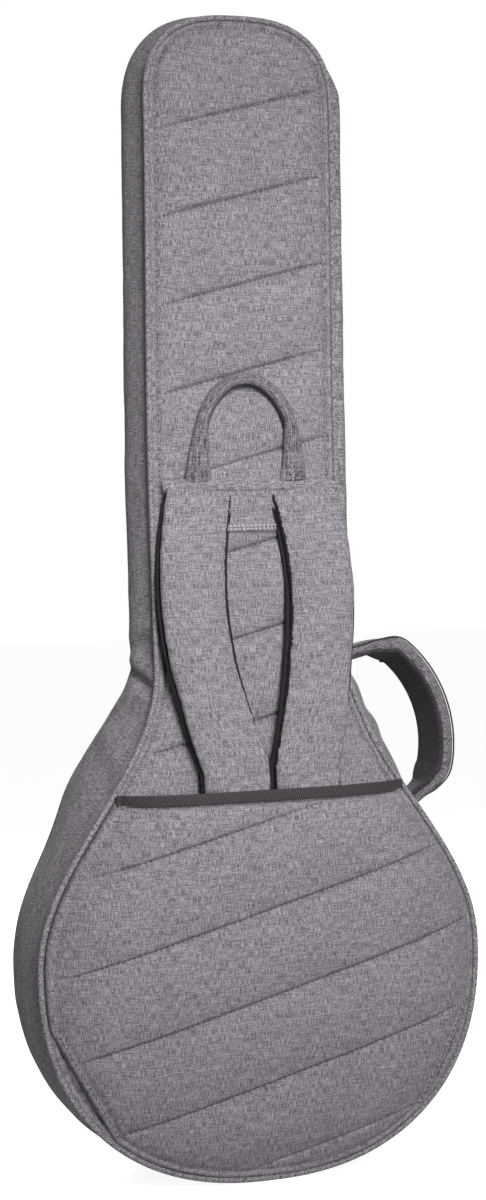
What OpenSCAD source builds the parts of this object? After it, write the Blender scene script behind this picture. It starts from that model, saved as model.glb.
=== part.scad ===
// Padded gig bag for a banjo: quilted back with shoulder straps and pocket, zipped front lid.
// Axes: +X towards the side handle, -Y towards the wearer's back, +Z towards the headstock.
// The origin is the point inside the top of the haul loop where the bag hangs from a hook.
// All places below are heights above the lowest point of the bag, moved to that origin last.

/* [Outline] */
// Overall height of the back panel
bag_h = 1013; // [1000:1:1030]
// Widest width of the round bout
body_w = 394; // [386:1:400]
// Width of the straight neck
neck_w = 174; // [170:1:178]
// Height of the widest point of the bout
bout_z = 190; // [186:1:194]
// Height where the shoulder curve meets the straight neck
shoulder_z = 445; // [440:1:450]
// Roundness of the bout below its widest point, where 2 is an ellipse
bout_power = 2.3; // [2.1:0.1:2.5]
// Roundness of the top end, where 2 is an ellipse
top_power = 2.7; // [2.3:0.1:3]
// Height of the rounded part of the top end
top_rise = 78; // [70:1:86]

/* [Depth] */
// Depth of the bag over the round bout
body_d = 110; // [106:1:114]
// Depth of the bag over the neck
neck_d = 72; // [70:1:76]
// Height where the front starts to step back
ramp_low_z = 330; // [320:5:340]
// Height where the front reaches the neck depth
ramp_high_z = 455; // [450:1:465]

/* [Walls] */
// Thickness of the outer cloth
cloth = 2; // [1.8:0.1:2.2]
// Thickness of the foam in the walls
foam = 8; // [7:0.5:8]
// Thickness of the inner lining
lining = 1; // [0.8:0.1:1]
// How far the side gusset stands out past the panels
gusset_grow = 4; // [4:0.5:5]

/* [Shoulder straps] */
// Width of a padded strap
strap_w = 62; // [58:1:63]
// Thickness of a padded strap
strap_t = 12; // [11:0.5:12]
// Height of the seam that holds the strap tops
yoke_z = 600; // [598:1:602]
// Height of the pocket mouth
mouth_z = 338; // [336:1:340]
// How far the two straps lean sideways where they meet
strap_lean = 5; // [0:1:6]

/* [Hidden] */
$fn = 48;
steps = 12;                 // points along each curved stretch of the outline
gap = 0.3;                  // clearance between parts that move past each other
reach = 260;                // longer than any part from the middle plane
seam = 7.1;                 // zip parting plane, measured back from the front
lid_foam = 7;
yoke_h = 46;
loop_x = -8;                // middle of the haul loop, which is sewn a little off centre
loop_z = 628;
loop_a = 46;
loop_b = 60;
loop_t = 12;
loop_y = -17;
hang = [loop_x, loop_y + loop_t / 2, loop_z + loop_b - loop_t / 2];

strap_top = [-8, yoke_z];               // y, z of the strap hinge in the yoke seam
strap_foot = [-31, mouth_z];            // y, z where the strap enters the pocket
knee_in = 6.5;
strap_run = strap_foot - strap_top;
knee = (strap_top + strap_foot) / 2 + knee_in * [-strap_run.y, strap_run.x] / norm(strap_run);
tail_low_z = 232;
tail_tuck = 5;               // how far the lower end of the tail lies nearer the back panel
gap_top = 15;                // half the gap between the straps at the yoke
gap_wide = 27.5;             // half the gap at its widest
gap_wide_z = 505;
gap_close_z = 358;
gap_close = 0.8;

slit_low_z = 45;
slit_high_z = 143;
pocket_bulge = 33;
pocket_t = 3;
pocket_low_z = 4;
mouth_edge = 126;

handle_c = [80, 369];        // x, z of the centre of the grip's arc
handle_r = 110;
handle_y = 49;
handle_w = 38;
webbing_w = 26;
grip_top = 53;               // angles of the ends of the grip
grip_foot = -15;
handle_upper = [104, 452];   // x, z of the two points that the handle swings about
handle_lower = [160, 317];

hinge_x = -body_w / 2 - gusset_grow - 0.6;
zip_x = neck_w / 2 + gusset_grow;
slider_l = 16;
slider_w = 12;
upper_slider_z = 735;
lower_slider_z = 701;
puller_l = 22;

pocket_z = 300;              // top of the front accessory pocket
pocket_inset = 12;
pocket_d = 14;
front_zip_z = 284;
front_zip_w = 230;
front_slider_x = 100;

rest_z = 480;
rest_h = 46;
rest_w = 112;
rest_d = 30;
rest_notch = 26;

cloth_grey = "#8b8790";
webbing_black = "#454146";
foam_grey = "#5c5a60";
lining_black = "#2b2a2d";
metal_dark = "#3c3c40";

// ---------- outline of the bag seen from the back ----------

function swell(z) = neck_w / 2 + (body_w - neck_w) / 4 * (1 + cos(180 * (z - bout_z) / (shoulder_z - bout_z)));
function swell_slope(z) = (body_w - neck_w) / 4 * PI / (shoulder_z - bout_z)
    * sin(180 * (z - bout_z) / (shoulder_z - bout_z));
function bout_half(z) = body_w / 2 * pow(1 - pow((bout_z - z) / bout_z, bout_power), 1 / bout_power);
function half_width(z) = z < bout_z ? bout_half(z) : z < shoulder_z ? swell(z) : neck_w / 2;
function front_y(z) = z < ramp_low_z ? body_d : z > ramp_high_z ? neck_d
    : body_d + (neck_d - body_d) * (z - ramp_low_z) / (ramp_high_z - ramp_low_z);

function bout_edge(grow) = [for (i = [0 : steps]) let (t = 90 * i / steps)
    [(body_w / 2 + grow) * pow(sin(t), 2 / bout_power),
     bout_z - (bout_z + grow) * pow(cos(t), 2 / bout_power)]];
function flank_edge(grow) = [for (i = [1 : steps]) let (z = bout_z + (shoulder_z - bout_z) * i / steps)
    [swell(z) + grow * sqrt(1 + pow(swell_slope(z), 2)), z]];
function top_edge(grow) = [for (i = [0 : steps]) let (t = 90 * i / steps)
    [(neck_w / 2 + grow) * pow(cos(t), 2 / top_power),
     bag_h - top_rise + (top_rise + grow) * pow(sin(t), 2 / top_power)]];
function half_edge(grow) = concat(bout_edge(grow), flank_edge(grow), top_edge(grow));
function outline(grow) = let (half = half_edge(grow), last = len(half) - 1)
    concat(half, [for (i = [last - 1 : -1 : 1]) [-half[i].x, half[i].y]]);

// ---------- building blocks ----------

// Moves a part from heights above the bottom to the hanging point
module hung() {
    translate(-hang) children();
}

// Extrudes an X-Z drawing from y0 to y1
module along_y(y0, y1) {
    translate([0, y1, 0]) rotate([90, 0, 0]) linear_extrude(y1 - y0) children();
}

// Extrudes a Y-Z drawing across the whole bag
module across_x() {
    translate([-reach, 0, 0]) rotate([90, 0, 90]) linear_extrude(2 * reach) children();
}

function front_line(inset) = [[body_d - inset, -30], [body_d - inset, ramp_low_z],
    [neck_d - inset, ramp_high_z], [neck_d - inset, bag_h + 30]];
function flat_line(y) = [[y, bag_h + 30], [y, -30]];
function reversed(line) = [for (i = [len(line) - 1 : -1 : 0]) line[i]];

// Depth range that ends a set distance behind the front
module up_to_front(y, inset) {
    across_x() polygon(concat(front_line(inset), flat_line(y)));
}

// Depth range between two distances behind the front, which may be negative
module near_front(deep, shallow) {
    across_x() polygon(concat(front_line(shallow), reversed(front_line(deep))));
}

module ring(outer, inner) {
    along_y(-5, body_d + 30) difference() {
        polygon(outline(outer));
        polygon(outline(inner));
    }
}

module plate(grow) {
    along_y(-5, body_d + 30) polygon(outline(grow));
}

// Box given by its two corners
module block(low, high) {
    translate(low) cube(high - low);
}

// Ring sector in an X-Z plane
module arc_band(centre, r0, r1, a0, a1, y0, y1) {
    translate([centre.x, 0, centre.y]) rotate([90, 0, 0]) rotate([0, 0, a0])
        rotate_extrude(angle = a1 - a0) translate([r0, -y1]) square([r1 - r0, y1 - y0]);
}

// ---------- padded case ----------

module back_panel() hung() color(cloth_grey) along_y(0, cloth) polygon(outline(cloth));

module back_foam() hung() color(foam_grey)
    along_y(cloth, cloth + foam) polygon(outline(cloth - foam));

module back_lining() hung() color(lining_black)
    along_y(cloth + foam, cloth + foam + lining) polygon(outline(cloth - foam - lining));

// Part of the side wall between two heights and two distances from the middle plane
module gusset_piece(low_x, high_x, low_z, high_z) hung() color(cloth_grey) intersection() {
    ring(gusset_grow, cloth);
    up_to_front(cloth, seam + 9);
    block([low_x, -10, low_z], [high_x, 200, high_z]);
}

side_low_z = 150;
side_high_z = bag_h - top_rise;
module gusset_bottom() gusset_piece(-reach, reach, -30, side_low_z);
module gusset_left() gusset_piece(-reach, 0, side_low_z, side_high_z);
module gusset_right() gusset_piece(0, reach, side_low_z, side_high_z);
module gusset_top() gusset_piece(-reach, reach, side_high_z, bag_h + 30);

module gusset_foam() hung() color(foam_grey) intersection() {
    ring(cloth, cloth - foam);
    up_to_front(cloth, seam + 3);
}

module gusset_lining() hung() color(lining_black) intersection() {
    ring(cloth - foam, cloth - foam - lining);
    up_to_front(cloth + foam, seam + 3);
}

module back_piping() hung() color(cloth_grey) intersection() {
    ring(3.5, -0.5);
    block([-reach, -3, -30], [reach, 0, bag_h + 30]);
}

// ---------- back pocket ----------

slit_low_half = half_width(slit_low_z);
slit_high_half = half_width(slit_high_z);
function pocket_half(z) = z > slit_low_z && z < slit_high_z
    ? slit_low_half + (slit_high_half - slit_low_half) * (z - slit_low_z) / (slit_high_z - slit_low_z)
    : half_width(z);
function bulge(u, z) = pocket_bulge * pow(1 - pow(abs(u), 4), 0.7)
    * pow(1 - pow((mouth_z - z) / mouth_z, 3), 0.8);

columns = 20;
rows = 16;
function row_z(j) = pocket_low_z + (mouth_z - pocket_low_z) * (1 - pow(1 - j / rows, 1.3));
// How far the sheet's lowest rows are drawn in, clear of the piping
function low_pull(z) = 2.4 * pow(max(0, 1 - z / slit_low_z), 2);
function sheet_point(i, j, out) = let (z = row_z(j), u = 2 * i / columns - 1)
    [(pocket_half(z - low_pull(z)) - 1.6) * u, -bulge(u, z) - out, z];

// Closed sheet between two copies of the same bulged grid
module bulged_sheet(low_row, high_row, inner, outer) {
    count = (columns + 1) * (high_row - low_row + 1);
    points = [for (out = [inner, outer]) for (j = [low_row : high_row]) for (i = [0 : columns])
        sheet_point(i, j, out)];
    last = high_row - low_row;
    function at(side, i, j) = side * count + j * (columns + 1) + i;
    front = [for (j = [0 : last - 1]) for (i = [0 : columns - 1])
        each [[at(1, i, j), at(1, i, j + 1), at(1, i + 1, j + 1)],
              [at(1, i, j), at(1, i + 1, j + 1), at(1, i + 1, j)]]];
    back = [for (j = [0 : last - 1]) for (i = [0 : columns - 1])
        each [[at(0, i, j), at(0, i + 1, j + 1), at(0, i, j + 1)],
              [at(0, i, j), at(0, i + 1, j), at(0, i + 1, j + 1)]]];
    ends = [for (i = [0 : columns - 1])
        each [[at(0, i, 0), at(1, i, 0), at(1, i + 1, 0), at(0, i + 1, 0)],
              [at(0, i, last), at(0, i + 1, last), at(1, i + 1, last), at(1, i, last)]]];
    sides = [for (j = [0 : last - 1])
        each [[at(0, 0, j), at(0, 0, j + 1), at(1, 0, j + 1), at(1, 0, j)],
              [at(0, columns, j), at(1, columns, j), at(1, columns, j + 1), at(0, columns, j + 1)]]];
    polyhedron(points, concat(front, back, ends, sides));
}

module pocket_panel() hung() color(cloth_grey) bulged_sheet(0, rows, 0.2, 0.2 + pocket_t);

module pocket_binding() hung() color(webbing_black)
    bulged_sheet(rows - 1, rows, 0.4 + pocket_t, 2 + pocket_t);

// ---------- straps ----------

function half_gap(z) = z > gap_wide_z
    ? gap_wide - (gap_wide - gap_top) * pow((z - gap_wide_z) / (yoke_z - gap_wide_z), 2)
    : z > gap_close_z
    ? gap_wide - (gap_wide - gap_close) * pow((gap_wide_z - z) / (gap_wide_z - gap_close_z), 1.7)
    : gap_close;
function lean(z) = strap_lean * max(0, min(1, (450 - z) / (450 - gap_close_z)));
strap_zs = [for (i = [0 : 20]) yoke_z - (yoke_z - tail_low_z) * i / 20];

// Strap seen from the back, between its inner and outer edges
module strap_outline(side) {
    inner = [for (z = strap_zs) [lean(z) + side * half_gap(z), z]];
    outer = [for (z = strap_zs) [lean(z) + side * (half_gap(z) + strap_w), z]];
    polygon(concat(inner, reversed(outer)));
}

// Strap between two depth lines; each line runs down in y and z
module strap_piece(side, line_in, line_out) {
    intersection() {
        along_y(-60, 20) strap_outline(side);
        across_x() polygon(concat(line_in, reversed(line_out)));
    }
}

mesh_t = 2;
function pad_in(skin) = [[-3 - skin, yoke_z], [knee.x - skin, knee.y + gap]];
function foot_in(skin) = [[knee.x - skin, knee.y - gap], [strap_foot.x + strap_t - skin, mouth_z + gap * 2]];
function pad_out() = [[strap_top.x, yoke_z], [strap_top.x - 7, yoke_z - 26],
    [knee.x - strap_t, knee.y + gap]];
function foot_out() = [[knee.x - strap_t, knee.y - gap], [strap_foot.x, mouth_z + gap * 2]];

module strap_upper(side) hung() color(cloth_grey) strap_piece(side, pad_in(mesh_t), pad_out());
module strap_lower(side) hung() color(cloth_grey) strap_piece(side, foot_in(mesh_t), foot_out());
module mesh_upper(side) hung() color(lining_black) strap_piece(side, pad_in(0), pad_in(mesh_t));
module mesh_lower(side) hung() color(lining_black) strap_piece(side, foot_in(0), foot_in(mesh_t));

module strap_tail(side) hung() color(cloth_grey) {
    top = mouth_z - gap * 2;
    strap_piece(side, [[strap_foot.x + strap_t, top], [strap_foot.x + strap_t + tail_tuck, tail_low_z]],
        [[strap_foot.x, top], [strap_foot.x + tail_tuck, tail_low_z]]);
}

module strap_left_upper() strap_upper(-1);
module strap_left_lower() strap_lower(-1);
module strap_left_mesh_upper() mesh_upper(-1);
module strap_left_mesh_lower() mesh_lower(-1);
module strap_left_tail() strap_tail(-1);
module strap_left_buckle() ladder_lock(-1);
module strap_right_upper() strap_upper(1);
module strap_right_lower() strap_lower(1);
module strap_right_mesh_upper() mesh_upper(1);
module strap_right_mesh_lower() mesh_lower(1);
module strap_right_tail() strap_tail(1);
module strap_right_buckle() ladder_lock(1);

// Plastic ladder lock below the padded tail, with two slots for the webbing
module ladder_lock(side) hung() color(metal_dark) {
    middle = strap_lean + side * (gap_close + strap_w / 2);
    y = strap_foot.x + tail_tuck + strap_t / 2;
    difference() {
        block([middle - 17, y - 2, tail_low_z - 28], [middle + 17, y + 2, tail_low_z]);
        for (z = [tail_low_z - 23, tail_low_z - 12])
            block([middle - 13, y - 5, z], [middle + 13, y + 5, z + 5]);
    }
}

module yoke_patch() hung() color(cloth_grey) {
    block([-79, -1.2, yoke_z - yoke_h], [80, 0, yoke_z + 6]);
    block([-79, -7, yoke_z + 1], [80, -1.2, yoke_z + 6]);
}

anchor_x = 143;
anchor_z = 92;
module strap_anchors() hung() color(webbing_black)
    for (side = [-1, 1]) translate([side * anchor_x, -2.4, anchor_z]) rotate([0, side * 38, 0])
        block([-12.5, 0, -14], [12.5, 2.4, 14]);

// Flat webbing that runs inside the pocket from each anchor towards the ladder lock
module strap_webbing() hung() color(webbing_black)
    for (side = [-1, 1]) let (foot = [side * anchor_x, anchor_z],
            head = [strap_lean + side * 42, tail_low_z - 40], run = head - foot)
        translate([foot.x, -4.2, foot.y]) rotate([0, -atan2(run.y, run.x), 0])
            block([0, 0, -12.5], [norm(run), 1.6, 12.5]);

// ---------- haul loop ----------

function arch(a, b) = [for (i = [0 : 24]) let (t = 180 * i / 24)
    [loop_x + a * cos(t), loop_z + b * sin(t)]];

module arch_band(outer, inner, y0, y1) {
    foot = yoke_z + 7;
    along_y(y0, y1) difference() {
        polygon(concat(arch(loop_a + outer, loop_b + outer),
            [[loop_x - loop_a - outer, foot], [loop_x + loop_a + outer, foot]]));
        polygon(concat(arch(loop_a + inner, loop_b + inner),
            [[loop_x - loop_a - inner, foot - 1], [loop_x + loop_a + inner, foot - 1]]));
    }
}

module haul_loop() hung() color(cloth_grey) difference() {
    arch_band(loop_t / 2, -loop_t / 2, loop_y, loop_y + loop_t);
    arch_band(2.5, -2.5, loop_y + 3.5, loop_y + 8.5);
}

module haul_loop_cord() hung() color(foam_grey) arch_band(2.5, -2.5, loop_y + 3.5, loop_y + 8.5);

module haul_tabs() hung() color(cloth_grey)
    for (side = [-1, 1])
        block([loop_x + side * loop_a - 12, -3.2, yoke_z + 6], [loop_x + side * loop_a + 12, 0, yoke_z + 26]);

// ---------- side handle ----------

half_web = webbing_w / 2;

function on_grip(angle, out = 0) = handle_c + (handle_r + out) * [cos(angle), sin(angle)];
upper_arm = on_grip(grip_top) - handle_upper;
lower_arm = on_grip(grip_foot) - handle_lower;

// One side of the webbing: up the upper arm, round the grip and down the lower arm
function web_side(out) = concat(
    [handle_upper + out * [-upper_arm.y, upper_arm.x] / norm(upper_arm)],
    [for (i = [0 : 17]) on_grip(grip_top + (grip_foot - grip_top) * i / 17, out)],
    [handle_lower + out * [lower_arm.y, -lower_arm.x] / norm(lower_arm)]);

// The two corners that point the end of an arm, so that it can swing
module arm_corners(point, run) {
    translate([point.x, handle_y, point.y]) rotate([0, -atan2(run.y, run.x), 0])
        for (side = [-1, 1]) translate([0, 0, -5]) linear_extrude(10)
            polygon([[-5, side * 3], [0.5, side * 3], [12, side * (half_web + 1)], [-5, side * (half_web + 1)]]);
}

module handle_webbing() hung() color(webbing_black) difference() {
    along_y(handle_y - half_web, handle_y + half_web)
        polygon(concat(web_side(1.25), reversed(web_side(-1.25))));
    arm_corners(handle_upper, upper_arm);
    arm_corners(handle_lower, lower_arm);
}

module handle_grip() hung() color(cloth_grey) difference() {
    arc_band(handle_c, handle_r - 4, handle_r + 5, grip_foot, grip_top,
        handle_y - handle_w / 2, handle_y + handle_w / 2);
    arc_band(handle_c, handle_r - 1.5, handle_r + 1.5, grip_foot - 1, grip_top + 1,
        handle_y - half_web - gap, handle_y + half_web + gap);
}

module handle_lining() hung() color(lining_black)
    arc_band(handle_c, handle_r - 6, handle_r - 4, grip_foot, grip_top,
        handle_y - handle_w / 2 + 1, handle_y + handle_w / 2 - 1);

// Sewn stubs that carry the ends of the handle
module handle_stub(point, direction) {
    translate([point.x, handle_y, point.y]) rotate([0, -atan2(direction.y, direction.x), 0])
        block([-24, -half_web, -1.25], [-2.4, half_web, 1.25]);
}

module handle_tabs() hung() color(webbing_black) difference() {
    union() {
        handle_stub(handle_upper, [8, 1]);
        handle_stub(handle_lower, [6, 6]);
    }
    along_y(-10, 200) polygon(outline(gusset_grow));
}

// ---------- main zip and lid ----------

module zip_tape_body() hung() color(webbing_black) intersection() {
    ring(gusset_grow, cloth);
    near_front(seam + 9, seam + 2);
}

module zip_chain_body() hung() color(metal_dark) intersection() {
    ring(gusset_grow, cloth);
    near_front(seam + 2, seam + 0.15);
}

module zip_chain_lid() hung() color(metal_dark) intersection() {
    ring(gusset_grow, cloth);
    near_front(seam - 0.15, seam - 2);
}

module zip_tape_lid() hung() color(webbing_black) intersection() {
    ring(gusset_grow, cloth);
    near_front(seam - 2, 0);
}

module lid_panel() hung() color(cloth_grey) intersection() {
    plate(cloth);
    near_front(cloth, 0);
}

module lid_foam_pad() hung() color(foam_grey) intersection() {
    plate(1);
    near_front(cloth + lid_foam, cloth);
}

module lid_lining() hung() color(lining_black) intersection() {
    plate(1);
    near_front(cloth + lid_foam + 0.7, cloth + lid_foam);
}

module front_piping() hung() color(cloth_grey) intersection() {
    ring(3.5, -0.5);
    near_front(0, -3);
}

// Cloth strip on the side that the lid turns on
module lid_hinge() hung() color(cloth_grey)
    block([hinge_x - 1.2, body_d - seam - 20, bout_z - 35], [hinge_x - 0.2, body_d - seam - 0.5, bout_z + 35]);

// ---------- zip sliders ----------

bar_x = 5.6;                 // distance of the puller's bar from the tape

// Slider that lies on the zip and carries a bar for its puller; local +X points away from the cloth
module slider() {
    block([0.3, -slider_w / 2, -slider_l / 2], [3, slider_w / 2, slider_l / 2]);
    for (side = [-1, 1]) block([3, side * 3.2 - 0.7, -1.6], [bar_x + 1.4, side * 3.2 + 0.7, 1.6]);
    translate([bar_x, 0, 0]) rotate([90, 0, 0]) cylinder(h = 6, r = 0.9, center = true);
}

module puller() {
    difference() {
        union() {
            translate([bar_x, 0, 0]) rotate([90, 0, 0]) cylinder(h = 3.6, r = 2.1, center = true);
            block([bar_x - 0.8, -1.8, -8], [bar_x + 0.8, 1.8, -1]);
            block([bar_x - 0.8, -3.2, -puller_l], [bar_x + 0.8, 3.2, -6]);
        }
        translate([bar_x, 0, 0]) rotate([90, 0, 0]) cylinder(h = 6, r = 0.96, center = true);
    }
}

module on_main_zip(z) {
    translate([zip_x, neck_d - seam, z]) children();
}

module on_front_zip() {
    translate([front_slider_x, body_d + pocket_d + 1.8, front_zip_z]) rotate([0, 0, 90]) children();
}

module zip_slider_upper() hung() color(metal_dark) on_main_zip(upper_slider_z) slider();
module zip_puller_upper() hung() color(metal_dark) on_main_zip(upper_slider_z) puller();
module zip_slider_lower() hung() color(metal_dark) on_main_zip(lower_slider_z) slider();
module zip_puller_lower() hung() color(metal_dark) on_main_zip(lower_slider_z) puller();
module front_slider() hung() color(metal_dark) on_front_zip() slider();
module front_puller() hung() color(metal_dark) on_front_zip() puller();

// ---------- front accessory pocket ----------

module below(z) {
    intersection() {
        children();
        translate([-reach, -60]) square([2 * reach, z + 60]);
    }
}

module front_pocket() hung() color(cloth_grey) difference() {
    along_y(body_d, body_d + pocket_d) below(pocket_z) polygon(outline(-pocket_inset));
    along_y(body_d - 1, body_d + pocket_d - 2) below(pocket_z - 3) polygon(outline(-pocket_inset - 3));
    block([-front_zip_w / 2, body_d + pocket_d - 4, front_zip_z - 8],
        [front_zip_w / 2, body_d + pocket_d + 1, front_zip_z + 8]);
}

module front_pocket_tape() hung() color(webbing_black) difference() {
    block([-front_zip_w / 2, body_d + pocket_d - 2, front_zip_z - 8],
        [front_zip_w / 2, body_d + pocket_d, front_zip_z + 8]);
    block([-front_zip_w / 2 - 1, body_d + pocket_d - 0.4, front_zip_z - 3],
        [front_zip_w / 2 + 1, body_d + pocket_d + 1, front_zip_z + 3]);
}

module front_pocket_chain() hung() color(metal_dark)
    block([-front_zip_w / 2, body_d + pocket_d - 0.4, front_zip_z - 3],
        [front_zip_w / 2, body_d + pocket_d + 1.6, front_zip_z + 3]);

// ---------- inside ----------

inner_y = cloth + foam + lining;

module neck_rest() hung() color(foam_grey) difference() {
    block([-rest_w / 2, inner_y, rest_z], [rest_w / 2, inner_y + rest_d, rest_z + rest_h]);
    translate([0, inner_y + rest_d + 4, rest_z - 1]) cylinder(h = rest_h + 2, r = rest_notch);
}

strap_y = inner_y + rest_d + 1;

// Hook-and-loop strap that closes over the instrument's neck
module neck_strap() hung() color(webbing_black)
    block([-rest_w / 2 + 2, strap_y, rest_z + 4], [rest_w / 2 - 2, strap_y + 2.4, rest_z + rest_h - 4]);

module bottom_bumper() hung() color(foam_grey) intersection() {
    ring(cloth - foam - lining, cloth - foam - lining - 14);
    up_to_front(inner_y, seam + 4);
    block([-reach, 0, -30], [reach, 200, 60]);
}

module headstock_pad() hung() color(foam_grey) intersection() {
    ring(cloth - foam - lining, cloth - foam - lining - 12);
    up_to_front(inner_y, seam + 4);
    block([-reach, 0, bag_h - 50], [reach, 200, bag_h + 30]);
}

back_panel();
back_foam();
back_lining();
gusset_bottom();
gusset_left();
gusset_right();
gusset_top();
gusset_foam();
gusset_lining();
back_piping();
pocket_panel();
pocket_binding();
yoke_patch();
haul_tabs();
strap_anchors();
strap_webbing();
handle_tabs();
zip_tape_body();
zip_chain_body();
lid_hinge();
neck_rest();
bottom_bumper();
headstock_pad();
neck_strap();
lid_panel();
lid_foam_pad();
lid_lining();
front_piping();
zip_tape_lid();
zip_chain_lid();
front_pocket();
front_pocket_tape();
front_pocket_chain();
front_slider();
front_puller();
zip_slider_upper();
zip_puller_upper();
zip_slider_lower();
zip_puller_lower();
handle_grip();
handle_lining();
handle_webbing();
haul_loop();
haul_loop_cord();
strap_left_upper();
strap_left_lower();
strap_left_tail();
strap_left_buckle();
strap_right_upper();
strap_right_lower();
strap_right_tail();
strap_right_buckle();
strap_left_mesh_upper();
strap_left_mesh_lower();
strap_right_mesh_upper();
strap_right_mesh_lower();
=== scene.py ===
"""Looks of a padded banjo gig bag: quilted heather cloth, foam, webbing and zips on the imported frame.

Every size is in metres. A shape is worked out in the bag's own places, with x from the middle, y from
the outer face of the back panel and z from the lowest point, and is then moved into the row frame.
"""

import logging
import math
from dataclasses import dataclass, field
from enum import Enum
from typing import Callable

import bmesh
import bpy
import numpy as np
from mathutils import Matrix, Vector, noise


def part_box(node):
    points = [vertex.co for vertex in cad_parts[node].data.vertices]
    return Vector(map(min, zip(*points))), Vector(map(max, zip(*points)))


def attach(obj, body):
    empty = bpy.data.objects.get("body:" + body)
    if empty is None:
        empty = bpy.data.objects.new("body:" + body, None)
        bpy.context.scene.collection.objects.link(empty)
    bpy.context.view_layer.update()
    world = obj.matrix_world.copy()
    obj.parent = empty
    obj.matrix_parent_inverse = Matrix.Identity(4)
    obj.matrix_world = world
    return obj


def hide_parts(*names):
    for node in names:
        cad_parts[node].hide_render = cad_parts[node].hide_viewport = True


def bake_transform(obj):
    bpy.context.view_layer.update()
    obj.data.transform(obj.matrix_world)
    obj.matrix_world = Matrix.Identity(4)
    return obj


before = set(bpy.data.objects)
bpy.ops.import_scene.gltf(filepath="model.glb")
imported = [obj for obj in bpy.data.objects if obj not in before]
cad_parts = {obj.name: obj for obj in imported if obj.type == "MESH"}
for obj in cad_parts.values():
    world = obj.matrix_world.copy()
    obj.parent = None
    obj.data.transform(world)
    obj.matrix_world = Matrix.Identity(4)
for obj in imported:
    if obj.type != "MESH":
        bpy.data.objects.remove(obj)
LOG = logging.getLogger("gig_bag")

Colour = tuple[float, float, float]
Array = np.ndarray
Pair = tuple[Array, Array]
Mapping = Callable[[Array, Array], Pair]
Line = Callable[[Array], Array]
CLOTH_UV = "cloth"
TO_BACK, TO_FRONT, TO_HINGE = Vector((0, -1, 0)), Vector((0, 1, 0)), Vector((-1, 0, 0))
CLOTH_THICK, LINING_THICK = 0.0014, 0.0010


# ---------------------------------------------------------------- places


def bag_origin() -> Vector:
    """The row-frame place of the bag's own zero: middle, outer back face and lowest point."""
    low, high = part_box("back_panel")
    seam_allowance = 0.002
    return Vector(((low.x + high.x) / 2, low.y, low.z + seam_allowance))


ORIGIN = bag_origin()


def placed(x: float, y: float, z: float) -> Vector:
    """A point given in the bag's own places, in the row frame."""
    return ORIGIN + Vector((x, y, z))


def smooth_line(points: list[tuple[float, float]], softness: float) -> Line:
    """A rounded line through a few given points.

    Args:
        points: Places and values, in order of place.
        softness: How far along the line a corner is rounded.

    Returns:
        A function from places to values.
    """
    places, values = np.array(points).T
    fine = np.linspace(places[0] - 4 * softness, places[-1] + 4 * softness, 1200)
    raw = np.interp(fine, places, values)
    slope_low = (values[1] - values[0]) / (places[1] - places[0])
    slope_high = (values[-1] - values[-2]) / (places[-1] - places[-2])
    raw = np.where(fine < places[0], values[0] + slope_low * (fine - places[0]), raw)
    raw = np.where(fine > places[-1], values[-1] + slope_high * (fine - places[-1]), raw)
    reach = 3 * softness
    step = fine[1] - fine[0]
    offsets = np.arange(-reach, reach + step, step)
    weights = np.exp(-0.5 * (offsets / softness) ** 2)
    weights /= weights.sum()
    pad = len(offsets) // 2
    wide = np.concatenate([raw[0] + (raw[1] - raw[0]) * np.arange(-pad, 0), raw,
                           raw[-1] + (raw[-1] - raw[-2]) * np.arange(1, pad + 1)])
    soft = np.convolve(wide, weights, mode="same")[pad:pad + len(raw)]
    return lambda at: np.interp(at, fine, soft)


def ripple(points: Array, scale: float, seed: float) -> Array:
    """Smooth seeded noise in -1 to 1 at each point, for creases and slack.

    Args:
        points: Places, one row each.
        scale: Size of a ripple.
        seed: Shifts the pattern, so that pieces differ.
    """
    shift = Vector((seed, seed * 1.7, seed * 0.3))
    return np.array([noise.noise(Vector(p) / scale + shift) for p in points])


def stacked(*columns: Array) -> Array:
    """Puts columns side by side, one row for each point."""
    return np.stack(columns, 1)


def eased(share: Array) -> Array:
    """A share of 0 to 1 that starts and ends gently."""
    return share * share * (3 - 2 * share)


def steady(value: float) -> Line:
    """A function that gives one value everywhere."""
    return lambda v: np.full_like(v, value)


def facing(x: float, y: float, z: float) -> Line:
    """A function that gives one direction everywhere."""
    return lambda v: np.tile([x, y, z], (len(v), 1))


BACKWARD, FORWARD, UPWARD = facing(0.0, -1.0, 0.0), facing(0.0, 1.0, 0.0), facing(0.0, 0.0, 1.0)


def level(x: Array, z: Array) -> Array:
    """Places in the flat plane of a panel, for seeded noise."""
    return stacked(x, z, 0 * x)


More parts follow.
